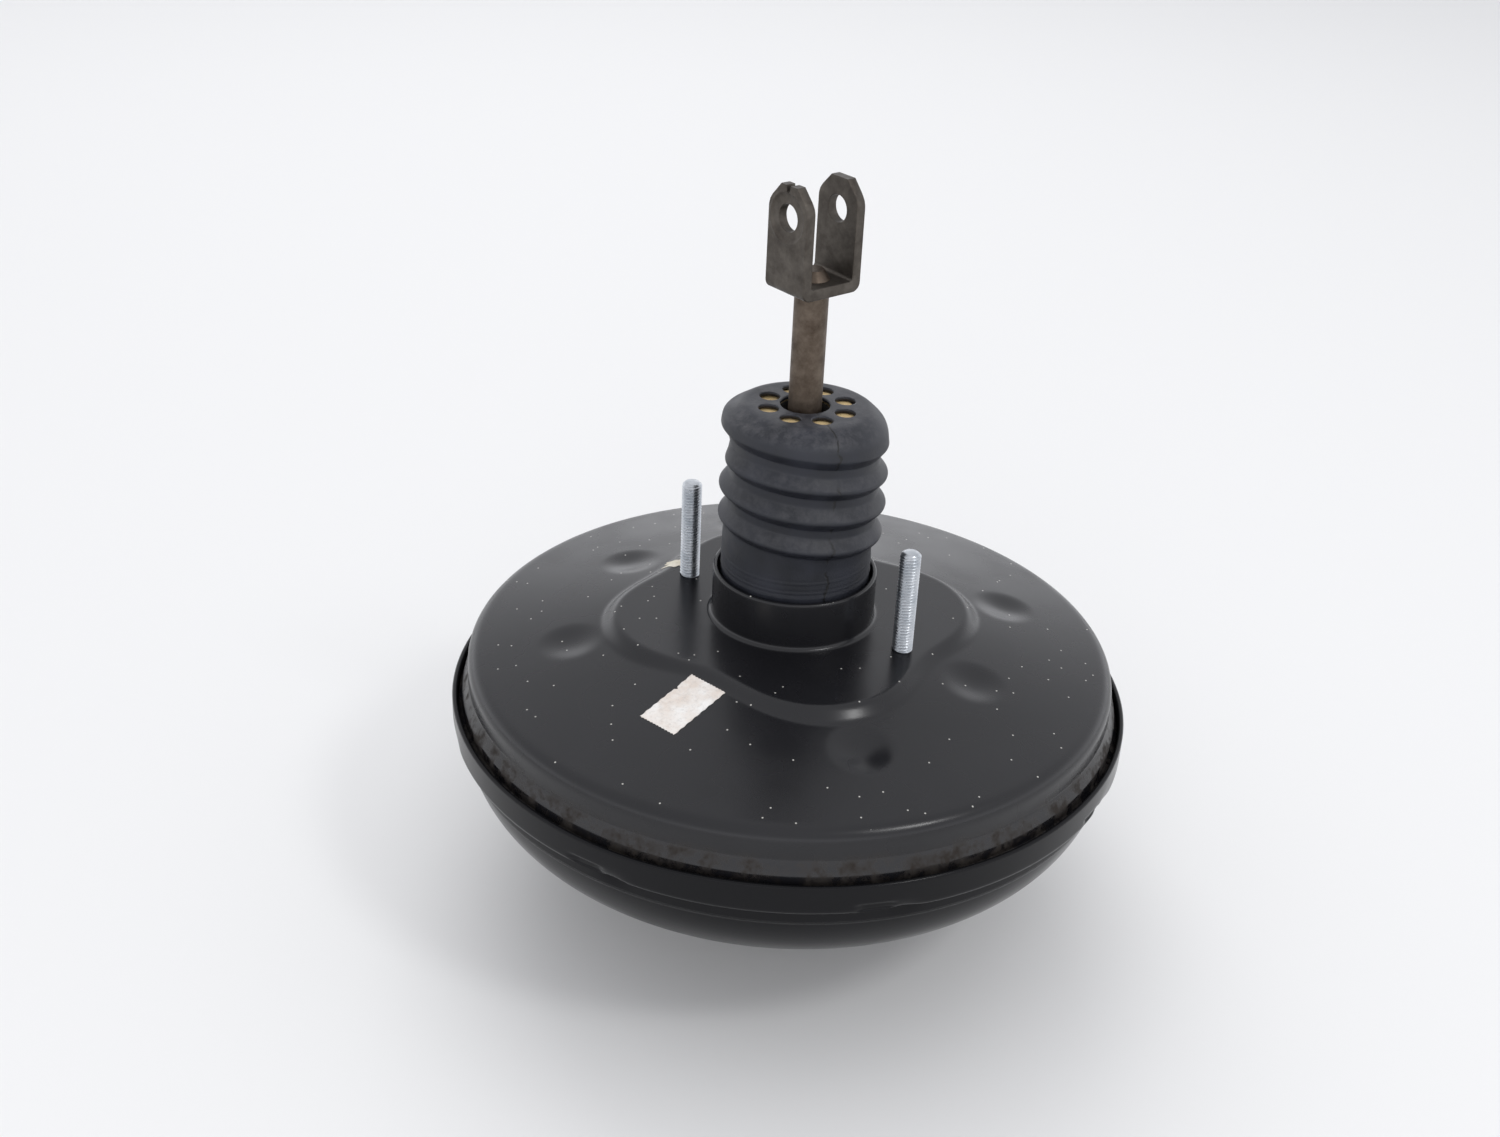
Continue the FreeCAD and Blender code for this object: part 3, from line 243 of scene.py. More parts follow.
# %% [markdown]
# ## Profiles
# A drawing gives a turned or pressed part as corners with fillet radii, so the profiles here are
# written in the same way. A fillet could come from a bevel modifier, but an arc worked out in the
# path keeps its exact radius, and the grid stays even.

# %% Profiles
def rounded_path(corners, step=1.0):
    """A dense open path in (r, z) through corners (r, z, radius): straight runs joined by tangent
    arcs. An arc meets its runs at its radius divided by the tangent of half the corner's angle."""
    path = []
    for i, (r, z, radius) in enumerate(corners):
        here = np.array([r, z])
        if radius <= 0 or i in (0, len(corners) - 1):
            path.append(here[None, :])
            continue
        before = np.array(corners[i - 1][:2]) - here
        after = np.array(corners[i + 1][:2]) - here
        before, after = before / np.linalg.norm(before), after / np.linalg.norm(after)
        half = math.acos(np.clip(before @ after, -1, 1)) / 2
        centre = here + (before + after) / np.linalg.norm(before + after) * radius / math.sin(half)
        first = here + before * radius / math.tan(half) - centre
        last = here + after * radius / math.tan(half) - centre
        sweep = math.pi - 2 * half
        t = np.linspace(0, 1, max(4, math.ceil(sweep / 0.2) + 1))[:, None]
        arc = (np.sin((1 - t) * sweep) * first + np.sin(t * sweep) * last) / math.sin(sweep)
        path.append(centre + arc)
    path = np.concatenate(path)
    dense = [path[:1]]
    for start, end in zip(path[:-1], path[1:]):
        parts = max(1, round(np.linalg.norm(end - start) / step))
        dense.append(start + (end - start) * np.linspace(0, 1, parts + 1)[1:, None])
    return np.concatenate(dense)


def turned(path, columns):
    """A profile (r, z) in mm turned round Z: three grids with each point's r, z and angle."""
    angle = np.linspace(0, 2 * np.pi, columns, endpoint=False)[None, :]
    r = np.repeat(path[:, :1], columns, 1)
    z = np.repeat(path[:, 1:], columns, 1)
    return r, z, np.repeat(angle, len(path), 0)


def to_points(r, z, angle):
    """Cylindrical coordinates in mm as x, y, z in metres: (r cos a, r sin a, z)."""
    return np.stack([r * np.cos(angle), r * np.sin(angle), z], -1) * MM


def smooth(x):
    """0 below 0, 1 above 1, and a smooth rise 3x^2 - 2x^3 between."""
    x = np.clip(x, 0, 1)
    return x * x * (3 - 2 * x)


def angle_gap(angle, degrees):
    """The signed difference from an angle in degrees, wrapped to half a turn either way."""
    return (angle - math.radians(degrees) + np.pi) % (2 * np.pi) - np.pi

# %% [markdown]
# ## Paints and metals
# Every finish starts from its plain colour, and then gets what the real one has at its real
# size: orange peel a millimetre or two wide in the stove paint, dust specks, grime in the
# channel by the rim, and blotches and fine grain on steel.

# %% Helpers for finishes
def place(add):
    """Object coordinates. Every piece sits at the origin, so these are metres in the row frame."""
    return add("TexCoord").outputs["Object"]


def from_axis(add, coords):
    """The distance from the booster's axis, sqrt(x^2 + y^2)."""
    parts = add("SeparateXYZ", {"Vector": coords}).outputs
    return calc(add, "SQRT", calc(add, "ADD", calc(add, "MULTIPLY", parts["X"], parts["X"]),
                                  calc(add, "MULTIPLY", parts["Y"], parts["Y"])))


def noise(add, coords, size_mm, detail=3.0, rough=0.55):
    """Noise whose features are about size_mm across."""
    return add("TexNoise", {"Vector": coords, "Scale": 1 / (size_mm * MM), "Detail": detail,
                            "Roughness": rough}).outputs["Fac"]


def remap(add, value, low, high, to_low, to_high):
    """Takes the range low to high onto to_low to to_high, and clamps outside it."""
    return add("MapRange", {"Value": value, "From Min": low, "From Max": high,
                            "To Min": to_low, "To Max": to_high}).outputs["Result"]


def mix(add, share, first, second):
    """Mixes two colours by a share from 0 to 1."""
    node = add("Mix", data_type="RGBA")
    for socket, value in (("Factor_Float", share), ("A_Color", first), ("B_Color", second)):
        target = next(i for i in node.inputs if i.identifier == socket)
        if hasattr(value, "is_output"):
            node.id_data.links.new(value, target)
        else:
            target.default_value = value
    return next(o for o in node.outputs if o.identifier == "Result_Color")


def calc(add, operation, first, second=0.0, clamp=False):
    """One math node of two values."""
    return add("Math", {0: first, 1: second}, operation=operation, use_clamp=clamp).outputs[0]


def bump(add, height, depth_mm, strength=1.0):
    """A bump whose full height is depth_mm."""
    return add("Bump", {"Height": height, "Distance": depth_mm * MM,
                        "Strength": strength}).outputs["Normal"]


# %% [markdown]
# ## Stove paint
# Both shells are painted black and baked, which leaves a faint orange peel. Dust lands on
# what lies level, and wet dirt stays in the channel by the rim. A texture could be painted by
# hand, but noise in the piece's own coordinates has the right size from every side.

# %% Stove paint
def stove_paint(name, colour, second, roughness, gloss=0.5, dust=0.0, grime=None):
    """Black stove paint. dust adds pale specks; grime is (low z, high z, least radius) in mm:
    brown dirt settles below high z and outside the least radius, and low z is not used."""
    material, add, to_shader = new_material(name)
    coords = place(add)
    cloud = noise(add, coords, 60, 2)
    base = mix(add, remap(add, cloud, 0.35, 0.65, 0.0, 1.0), linear(colour), linear(second))
    rough = remap(add, noise(add, coords, 25, 2), 0.3, 0.7, roughness - 0.04, roughness + 0.06)
    if grime:
        low, high, least = grime
        height = add("SeparateXYZ", {"Vector": coords}).outputs["Z"]
        inside = calc(add, "MULTIPLY",
                      remap(add, height, high * MM, (high - 2.5) * MM, 0.0, 1.0),
                      remap(add, from_axis(add, coords), (least - 0.6) * MM, (least + 0.6) * MM,
                            0.0, 1.0))
        patchy = remap(add, noise(add, coords, 9, 6, 0.7), 0.42, 0.62, 0.0, 1.0)
        dirt = calc(add, "MULTIPLY", inside, patchy, clamp=True)
        base = mix(add, dirt, base, linear("#241f1b"))
        rough = calc(add, "MAXIMUM", rough, calc(add, "MULTIPLY", dirt, 0.9))
    if dust:
        speck = add("TexVoronoi", {"Vector": coords, "Scale": 1 / (5.5 * MM)}, feature="F1",
                    voronoi_dimensions="2D")
        near = remap(add, speck.outputs["Distance"], 0.04, 0.075, 1.0, 0.0)
        chosen = add("SeparateColor", {"Color": speck.outputs["Color"]}).outputs[0]
        few = calc(add, "GREATER_THAN", chosen, 1 - dust)
        normal = add("NewGeometry").outputs["Normal"]
        upward = add("SeparateXYZ", {"Vector": normal}).outputs["Z"]
        level = calc(add, "GREATER_THAN", upward, 0.8)
        spots = calc(add, "MULTIPLY", calc(add, "MULTIPLY", near, few), level, clamp=True)
        base = mix(add, spots, base, linear("#b9b7b2"))
    to_shader("Base Color", base)
    to_shader("Roughness", rough)
    to_shader("Specular IOR Level", gloss)
    to_shader("Normal", bump(add, noise(add, coords, 1.8, 2), 0.012, 0.5))
    return material


REAR_PAINT = stove_paint("satin_black_stove_paint_rear", "#18181b", "#141417", 0.25, 0.42,
                         dust=0.10, grime=(-40, -22, 127.6))
FRONT_PAINT = stove_paint("black_stove_paint_front", "#0d0d10", "#0b0b0d", 0.20, 0.18)

# %% [markdown]
# ## Steel
# The studs are zinc plated, the clevis is phosphated and worn, and the rod has a brown skin of
# oxide. All of them are metal with blotches of a second colour and a fine grain. The clevis has
# rubbed edges, so a Bevel node softens how they catch the light.

# %% Steel
def steel(name, colour, second, roughness, grain_mm=0.6, metallic=1.0, edge=0.0):
    """Bare or plated steel with blotches of a second colour and fine grain. edge rounds the
    look of sharp edges by that many millimetres."""
    material, add, to_shader = new_material(name)
    coords = place(add)
    blotch = remap(add, noise(add, coords, 7, 6, 0.65), 0.35, 0.68, 0.0, 1.0)
    to_shader("Base Color", mix(add, blotch, linear(colour), linear(second)))
    to_shader("Metallic", metallic)
    to_shader("Roughness", remap(add, noise(add, coords, 2.5, 5), 0.3, 0.7, roughness - 0.08,
                                 roughness + 0.12))
    grain = add("Bump", {"Height": noise(add, coords, grain_mm, 3), "Distance": 0.02 * MM,
                         "Strength": 0.6})
    if edge:
        worn = add("Bevel", {"Radius": edge * MM}, samples=4)
        grain.id_data.links.new(worn.outputs["Normal"], grain.inputs["Normal"])
    to_shader("Normal", grain.outputs["Normal"])
    return material


ZINC = steel("bright_zinc_plate", "#c9ccd0", "#aab0b6", 0.30)
FORK_STEEL = steel("worn_phosphated_steel", "#5f5a54", "#433e39", 0.46, metallic=0.9, edge=0.5)
ROD_STEEL = steel("oxidised_rod_steel", "#6f6459", "#4c4138", 0.5, metallic=0.85)
BARE_STEEL = steel("oiled_pressed_steel", "#8b8a86", "#6f6c66", 0.38)
SPRING_WIRE = steel("phosphated_spring_wire", "#4d4e50", "#38393b", 0.42, metallic=0.9)

# %% [markdown]
# ## Rubber, plastic, felt and foam
# Moulded parts are dull and even with a fine skin. The air filter is tan felt under the boot's
# breather holes, and its middle round the rod is painted near-black: painted shade in the hole.

# %% Rubber and plastic
def moulded(name, colour, roughness, grain_mm=0.5, depth_mm=0.02):
    """Moulded rubber, plastic or resin with a fine skin."""
    material, add, to_shader = new_material(name)
    coords = place(add)
    tone = remap(add, noise(add, coords, 14, 5), 0.35, 0.65, 0.0, 1.0)
    dark = tuple(c * 0.72 for c in linear(colour)[:3]) + (1.0,)
    to_shader("Base Color", mix(add, tone, dark, linear(colour)))
    to_shader("Roughness", remap(add, noise(add, coords, 5, 4), 0.3, 0.7, roughness - 0.06,
                                 roughness + 0.08))
    to_shader("Normal", bump(add, noise(add, coords, grain_mm, 3), depth_mm, 0.6))
    return material


SEAL_RUBBER = moulded("moulded_seal_rubber", "#202022", 0.62)
RESIN = moulded("moulded_phenolic_resin", "#3a322c", 0.48, 0.4, 0.015)
NYLON = moulded("natural_nylon", "#d8d4c4", 0.42)
BLACK_NYLON = moulded("glass_filled_black_nylon", "#242427", 0.5, 0.35, 0.02)


# %% Felt and foam
def fibres(name, colour, second, size_mm, depth_mm, shaded_to=None):
    """Felt or foam: two tones of matted fibre or cells with a deep, soft bump. Inside the radius
    given last, in mm, it is painted near-black: painted shade deep in the hole round the rod."""
    material, add, to_shader = new_material(name)
    coords = place(add)
    cell = noise(add, coords, size_mm, 6, 0.75)
    base = mix(add, remap(add, cell, 0.35, 0.62, 0.0, 1.0), linear(second), linear(colour))
    # painted shade: inside that radius the felt is darkened to near-black, for the shade in the
    # rod's hole
    if shaded_to:
        painted_shade = remap(add, from_axis(add, coords), (shaded_to - 0.8) * MM, (shaded_to + 0.8) * MM,
                      1.0, 0.0)
        base = mix(add, painted_shade, base, linear("#1c1a18"))
    to_shader("Base Color", base)
    to_shader("Roughness", 0.95)
    to_shader("Normal", bump(add, cell, depth_mm, 0.9))
    return material


# the felt within 10.3 mm of the axis is painted near-black as shade round the rod
FELT = fibres("tan_pressed_felt", "#f0d7a6", "#cfae74", 0.5, 0.35, shaded_to=10.3)
FOAM = fibres("open_cell_foam", "#3a3a3c", "#161617", 0.9, 0.7)
print("finishes:", ", ".join(m.name for m in bpy.data.materials))

# %% [markdown]
# ## CAD pieces that keep their shape
# Most CAD nodes are right as they are and only need a finish. The springs, the seals and the
# valve sit inside the shells, but they show when the library opens the part up. The clevis, the
# return spring and the diaphragm are replaced further down, in the same finish.

# %% Finishes on the CAD nodes
FINISH = {
    "rear_reinforcement_plate": BARE_STEEL, "front_reinforcement_plate": BARE_STEEL,
    "guide_bush": NYLON, "neck_seal": SEAL_RUBBER, "neck_seal_retainer": BARE_STEEL,
    "front_seal_support": BARE_STEEL, "front_seal": SEAL_RUBBER,
    "check_valve_grommet": SEAL_RUBBER,
    "valve_body": RESIN, "diaphragm_plate": ZINC, "diaphragm_retainer": NYLON,
    "reaction_disc": SEAL_RUBBER, "output_rod": ZINC, "output_rod_adjuster": ZINC,
    "output_rod_retainer": SPRING_WIRE, "poppet_valve": SEAL_RUBBER, "poppet_retainer": BARE_STEEL,
    "poppet_spring": SPRING_WIRE, "air_silencer": FOAM, "air_filter": FELT,
    "valve_plunger": ZINC, "stop_key": BARE_STEEL, "input_return_spring": SPRING_WIRE,
    "input_rod": ROD_STEEL, "spring_collar": BARE_STEEL, "clevis": FORK_STEEL,
    "check_valve_body": BLACK_NYLON, "check_valve_lid": BLACK_NYLON,
    "check_valve_spring": SPRING_WIRE, "check_valve_disc": SEAL_RUBBER,
    "return_spring": SPRING_WIRE, "diaphragm": SEAL_RUBBER}
for node, finish in FINISH.items():
    data = NODES[node].data
    data.materials.clear()
    data.materials.append(finish)
print(len(FINISH), "nodes finished")

# %% [markdown]
# ## The rear shell
# On the real booster one press stroke draws this sheet: a cone, a raised platform with four
# soft corners, six round dimples, a neck and a flange. The cone's face is a height field in
# polar coordinates, so every one of these forms is a term in a sum, and the sheet stays smooth.

# %% Heights of the rear shell's face
PLATFORM = (65.3, 6.4, 1.2)  # mean radius, corner and stretch, mm
DIMPLES = [(2, 79.0, 1.7), (178, 81.0, 1.6), (47, 90.0, 1.7), (135, 89.0, 1.7), (225, 88.0, 1.5),
           (318, 89.0, 2.1)]  # degrees, distance from the axis and depth, mm
DIMPLE_RADIUS = 13.5
SHEET = 2.0  # thickness of both shells


def platform_radius(angle):
    """The platform's edge: a mean radius, less a term that goes round every 90 degrees, plus
    one that goes round every 180."""
    mean, corner, stretch = PLATFORM
    wave = np.cos(4 * angle)
    return mean - corner * (wave + 0.16 * wave ** 2) + stretch * np.cos(2 * angle)


def rear_cone(r):
    """The cone's height in mm: 1.6 below the mounting face at r 58, falling 0.1856 per mm."""
    return -(1.6 + (r - 58.0) * 0.1856)


def rear_height(r, angle):
    """Height of the rear shell's face in mm: the cone, lifted to 0 inside the platform's edge by
    a smooth step 7 mm wide, less a bowl (1 - (d/13.5)^2)^2 at each dimple."""
    slope = 7.0
    share = smooth((platform_radius(angle) + slope - 1.5 - r) / slope)
    z = rear_cone(r) * (1 - share)
    x, y = r * np.cos(angle), r * np.sin(angle)
    for degrees, reach, deep in DIMPLES:
        a = math.radians(degrees)
        away = np.hypot(x - reach * math.cos(a), y - reach * math.sin(a)) / DIMPLE_RADIUS
        z = z - deep * np.clip(1 - away ** 2, 0, 1) ** 2 * (1 - share)
    return z


print("platform radius:", [round(float(platform_radius(math.radians(a))), 1) for a in (0, 45, 90)])


# %% Rear shell
def rear_shell():
    """The sheet's profile turned round the axis: neck, face, rim and the underside of the face.
    The rows of the face and its underside then take their heights from rear_height."""
    drop = rear_cone(127.5)
    neck = rounded_path([(30.2, 1.0, 0), (30.2, 20.0, 0.7), (32.0, 20.0, 0.9), (32.0, 0.0, 2.0),
                         (36.0, 0.0, 0)], 0.8)
    face = np.arange(37.0, 121.0, 0.95)
    rim = rounded_path([(121.4, rear_cone(121.4), 0), (127.5, drop, 5.5), (127.5, -25.0, 2.0),
                        (130.0, -30.0, 1.2), (130.1, -34.0, 1.0), (131.7, -35.4, 0.5),
                        (131.7, -38.0, 0), (125.5, -38.0, 0), (125.5, drop - SHEET, 3.5),
                        (120.0, rear_cone(120.0) - SHEET, 0)], 1.4)
    under = np.arange(116.0, 33.0, -4.0)
    path = np.concatenate([neck, np.stack([face, face * 0], 1), rim,
                           np.stack([under, under * 0], 1)])
    rows = np.cumsum([len(neck), len(face), len(rim)])
    r, z, angle = turned(path, 480)
    field = rear_height(r, angle)
    z[rows[0]:rows[1]] = field[rows[0]:rows[1]]
    z[rows[2]:] = field[rows[2]:] - SHEET
    return grid_piece("rear_shell_pressing", to_points(r, z, angle), material=REAR_PAINT,
                      body="housing", stands_for=["rear_shell"])


rear_shell()

# %% [markdown]
# ## The front shell
# The front shell is a deep bowl whose rim is stepped out to take the rear shell's flange. Eight
# locks are lanced inwards through the rim. Each is a short slot with a pressed dimple below it.

# %% Front shell
def front_shell():
    """The sheet's profile turned round the axis: collar, bowl, nose, inside of the bowl and the
    ledge under the flange. Each lock is a slot and a dent, two bell curves in the radius."""
    locks, rim_radius = 8, 134.0
    outer = rounded_path([(132.0, -40.0, 0), (132.0, -31.5, 0.9), (134.0, -31.5, 0.9),
                          (134.0, -44.0, 2.4), (130.0, -44.0, 1.2), (130.0, -50.0, 0)], 0.7)
    bowl_angle = np.linspace(np.radians(-9), np.radians(-90), 34)
    bowl = np.stack([92 + 38 * np.cos(bowl_angle), -44 + 38 * np.sin(bowl_angle)], 1)
    nose = rounded_path([(90.0, -82.0, 0), (66.0, -82.0, 6.0), (52.0, -100.0, 5.0),
                         (16.0, -100.0, 0.4), (16.0, -98.0, 0.4), (51.3, -98.0, 3.5),
                         (65.3, -80.0, 7.0), (90.0, -80.0, 0)], 2.4)
    inside_angle = np.linspace(np.radians(-88), 0, 22)
    inside = np.stack([92 + 36 * np.cos(inside_angle), -44 + 36 * np.sin(inside_angle)], 1)
    ledge = rounded_path([(128.0, -43.0, 0), (128.0, -42.0, 0.4), (132.0, -42.0, 0.4),
                          (132.0, -41.0, 0)], 1)
    path = np.concatenate([outer, bowl, nose, inside, ledge])
    r, z, angle = turned(path, 540)
    outside = (r > 132.9) | ((r > 129.0) & (z < -43.5))
    for i in range(locks):
        across = angle_gap(angle, 45 * i) * rim_radius
        slot = np.exp(-(across / 6.5) ** 6) * smooth((z + 43.4) / 1.0) * smooth((-39.3 - z) / 1.0)
        dent = np.exp(-((across - 10) / 5.5) ** 2) * np.exp(-((z + 44.5) / 3.2) ** 2)
        r = r - outside * (1.2 * slot + 1.4 * dent)
    wave = 0.18 * np.sin(5 * angle + 0.6) + 0.12 * np.sin(11 * angle + 2.0)
    z = z + np.where((z > -33.0) & (r > 131.0), wave - 0.2, 0.0)
    return grid_piece("front_shell_bowl", to_points(r, z, angle), material=FRONT_PAINT,
                      body="housing", stands_for=["front_shell"])


front_shell()

# %% [markdown]
# ## Threaded studs
# The studs are M8, with a pitch of 1.25 mm. A rolled thread has a flank angle of 60 degrees and
# slightly rounded crests, so the radius follows a clipped triangle wave along the helix.

# %% Studs
def stud(name, x, root, tip, head, node):
    """A stud along Z. At angle a and height z the thread's phase is z / pitch - a / one turn, and
    the radius falls from 4.0 to 3.35 mm with the distance from the crest."""
    pitch, crest, foot, depth, columns = 1.25, 4.0, 3.35, 0.65, 40
    way = 1 if tip > root else -1
    length = abs(tip - root)
    along = np.arange(0.0, length + 1e-6, 0.125)[:, None]
    angle = np.linspace(0, 2 * np.pi, columns, endpoint=False)[None, :]
    wave = np.abs((along / pitch - angle / (2 * np.pi)) % 1.0 - 0.5) * 2
    shaft_r = foot + depth * np.clip(wave * 1.35 - 0.12, 0, 1)
    shaft_r = np.minimum(shaft_r, 2.9 + (length - along))
    shaft_z = root + way * along + 0 * angle
    tip_r = np.array([[1.4], [0.02]]) + 0 * angle
    tip_z = np.full((2, columns), tip, float)
    base = rounded_path([(crest, root, 0), (4.4, root - way * 0.3, 0), (4.4, head[0], 0.1),
                         (7.5, head[0], 0.5), (7.5, head[1], 0.6), (0.02, head[1], 0)], 1.2)[::-1]
    r = np.concatenate([base[:, :1] + 0 * angle, shaft_r, tip_r])
    z = np.concatenate([base[:, 1:] + 0 * angle, shaft_z, tip_z])
    points = to_points(r, z, np.repeat(angle, len(r), 0)) + np.array([x, 0, 0]) * MM
    if way > 0:
        points = points[::-1]
    return grid_piece(name, points, close_u=False, material=ZINC, body="housing",
                      stands_for=[node])


for side, x in (("left", -49.3), ("right", 49.3)):
    rear_stud = stud("rear_stud_" + side, x, 0.0, 41.4, (-4.5, -7.5), "rear_mounting_studs")
for side, x in (("left", -42.0), ("right", 42.0)):
    front_stud = stud("front_stud_" + side, x, -100.0, -125.0, (-95.5, -92.5),
                      "master_cylinder_studs")

# %% [markdown]
# ## The clevis
# The clevis is a strip of steel about 4 mm thick, bent into a U with rounded bends and bevelled
# ears, and its pin holes are punched. One ear has a coined ring round the hole and a notch in
# its tip. The strip could be a solid with rounded edges, but a section swept along the U also
# carries the ring, the thicker floor and the ears' taper. The holes are then cut out of it.

# %% Cutting holes
def bake_cuts(piece, cutters, material):
    """Cut the cutters out of a piece, keep the result as its own mesh and drop the cutters."""
    for cutter in cutters:
        modifier = piece.modifiers.new(cutter.name, "BOOLEAN")
        modifier.object, modifier.operation, modifier.solver = cutter, "DIFFERENCE", "EXACT"
    graph = bpy.context.evaluated_depsgraph_get()
    mesh = bpy.data.meshes.new_from_object(piece.evaluated_get(graph))
    piece.modifiers.clear()
    piece.data = mesh
    mesh.materials.clear()
    mesh.materials.append(material)
    for cutter in cutters:
        bpy.data.objects.remove(cutter)
    return mesh


def prism(name, outline, low, high, turn, axis_z=None):
    """A closed prism for cutting, turned round Z. With axis_z it lies along the pin's axis at
    that height, and its outline is (sideways, up). Without, it stands upright."""
    count, c, t = len(outline), math.cos(turn), math.sin(turn)
    vertices = []
    for level in (low, high):
        for a, b in outline:
            x, y, z = (level, a, b + axis_z) if axis_z is not None else (a, b, level)
            vertices.append(((x * c - y * t) * MM, (x * t + y * c) * MM, z * MM))
    faces = [(i, (i + 1) % count, count + (i + 1) % count, count + i) for i in range(count)]
    faces += [tuple(range(count - 1, -1, -1)), tuple(range(count, 2 * count))]
    return mesh_piece(name, vertices, faces, body="housing")


def circle(radius, sides):
    """Points (x, y) round a circle."""
    return [(radius * math.cos(a), radius * math.sin(a))
            for a in np.linspace(0, 2 * np.pi, sides + 1)[:-1]]


# %% The fork's skin
def u_path(half, low, bend, top):
    """A U seen from the side, from one tip to the other: points (across, z) down an ear, round a
    quarter circle of radius bend, along the floor, and the same mirrored."""
    ear = np.linspace(0, 1, 64)
    arc = np.linspace(0, np.pi / 2, 9)[1:]
    across = np.linspace(-1, 1, 24)[1:-1, None]
    side = np.concatenate([
        np.stack([0 * ear - half, top + (low + bend - top) * ear], 1),
        np.stack([-half + bend - bend * np.cos(arc), low + bend - bend * np.sin(arc)], 1)])
    base = np.hstack([across * (half - bend), 0 * across + low])
    return np.concatenate([side, base, side[::-1] * [-1, 1]])


CLEVIS_TURN = math.radians(71.3)
CLEVIS_HALF, CLEVIS_WALL, CLEVIS_LOW, CLEVIS_FLOOR, CLEVIS_TOP = 13.4, 3.8, 132.8, 137.0, 172.5
PIN_Z = 161.0


def fork_grid():
    """The fork's skin in mm, before its turn: one row per point of the U, and round each row the
    section, outer face first. The half width is 10.75, less the bevel at the ears' tips."""
    wide, bevel, soft_edge = 10.75, 6.4, 0.35
    outer = u_path(CLEVIS_HALF, CLEVIS_LOW, 3.4, CLEVIS_TOP)
    inner = u_path(CLEVIS_HALF - CLEVIS_WALL, CLEVIS_FLOOR, 1.2, CLEVIS_TOP)
    depth = CLEVIS_TOP - inner[:, 1]
    width = np.minimum(wide, wide - bevel + depth)
    width = width - 0.5 * np.exp(-((depth - bevel) / 1.2) ** 2)
    v = np.concatenate([[-1.0], np.linspace(-0.965, 0.965, 45), [1.0]])
    edge = (np.abs(v) > 0.99)[None, :, None]
    inward = (inner - outer) / np.linalg.norm(inner - outer, axis=1)[:, None]
    section_out = outer[:, None, :] + inward[:, None, :] * soft_edge * edge
    section_in = inner[:, None, :] - inward[:, None, :] * soft_edge * edge
    side = width[:, None] * v[None, :]
    reach = np.hypot(side, section_out[..., 1] - PIN_Z)
    ring = smooth((8.9 - reach) / 0.7) - 0.9 * np.exp(-((reach - 9.2) / 0.45) ** 2)
    coined = (section_out[..., 0] < -CLEVIS_HALF + 0.1) & (section_out[..., 1] > CLEVIS_LOW + 6)
    section_out[..., 0] += 0.35 * ring * coined * (np.abs(v)[None, :] < 0.99)
    profile = np.concatenate([section_out, section_in[:, ::-1]], 1)
    sideways = np.concatenate([side, side[:, ::-1]], 1)
    return np.stack([profile[..., 0], sideways, profile[..., 1]], -1)


# %% Clevis
def drawn_in(row):
    """A row of the grid shrunk to a thousandth of its size, round its own centre."""
    centre = row.mean(1, keepdims=True)
    return centre + (row - centre) * 1e-3


def clevis():
    """The turned fork, closed at both tips, less the pin hole, the rod's hole and the notch."""
    local = fork_grid()
    local = np.concatenate([drawn_in(local[:1]), local, drawn_in(local[-1:])])
    x = local[..., 0] * math.cos(CLEVIS_TURN) - local[..., 1] * math.sin(CLEVIS_TURN)
    y = local[..., 0] * math.sin(CLEVIS_TURN) + local[..., 1] * math.cos(CLEVIS_TURN)
    piece = grid_piece("clevis_fork", np.stack([x, y, local[..., 2]], -1) * MM, close_u=False,
                       material=FORK_STEEL, body="clevis", stands_for=["clevis"])
    around, count = local.shape[1], len(piece.data.vertices)
    tips = [tuple(range(around)), tuple(count - 1 - i for i in range(around))]
    mesh = bpy.data.meshes.new("clevis_closed")
    mesh.from_pydata([v.co for v in piece.data.vertices], [],
                     [tuple(f.vertices) for f in piece.data.polygons] + tips)
    mesh.materials.append(FORK_STEEL)
    piece.data = mesh
    tip = CLEVIS_TOP - PIN_Z
    notch = [(-0.5, tip - 2.6), (0.9, tip - 2.3), (1.5, tip + 1.0), (-1.1, tip + 1.0)]
    cutters = [prism("pin_cutter", circle(5.05, 48), -20, 20, CLEVIS_TURN, PIN_Z),
               prism("rod_cutter", circle(4.05, 32), CLEVIS_LOW - 2, 139, CLEVIS_TURN),
               prism("notch_cutter", notch, -20, -5, CLEVIS_TURN, PIN_Z)]
    done = bake_cuts(piece, cutters, FORK_STEEL)
    done.polygons.foreach_set("use_smooth", [True] * len(done.polygons))
    done.set_sharp_from_angle(angle=math.radians(32))
    print("clevis:", len(done.polygons), "faces, open edges:",
          len(done.edges) - len({e for f in done.polygons for e in f.edge_keys}))
    return piece


clevis()

# %% [markdown]
# ## The rubber boot
# The boot is moulded rubber: a smooth sleeve in the neck, folds, and a domed end with eight
# breather holes over the felt. Its wall is about 2 mm. An old boot sags, so its folds tilt by
# about 3 mm either way and are uneven by a few tenths. A profile turned round the axis gives
# closed folds inside and out, and the tilt, the ripples and the sag are then sums in z and r.

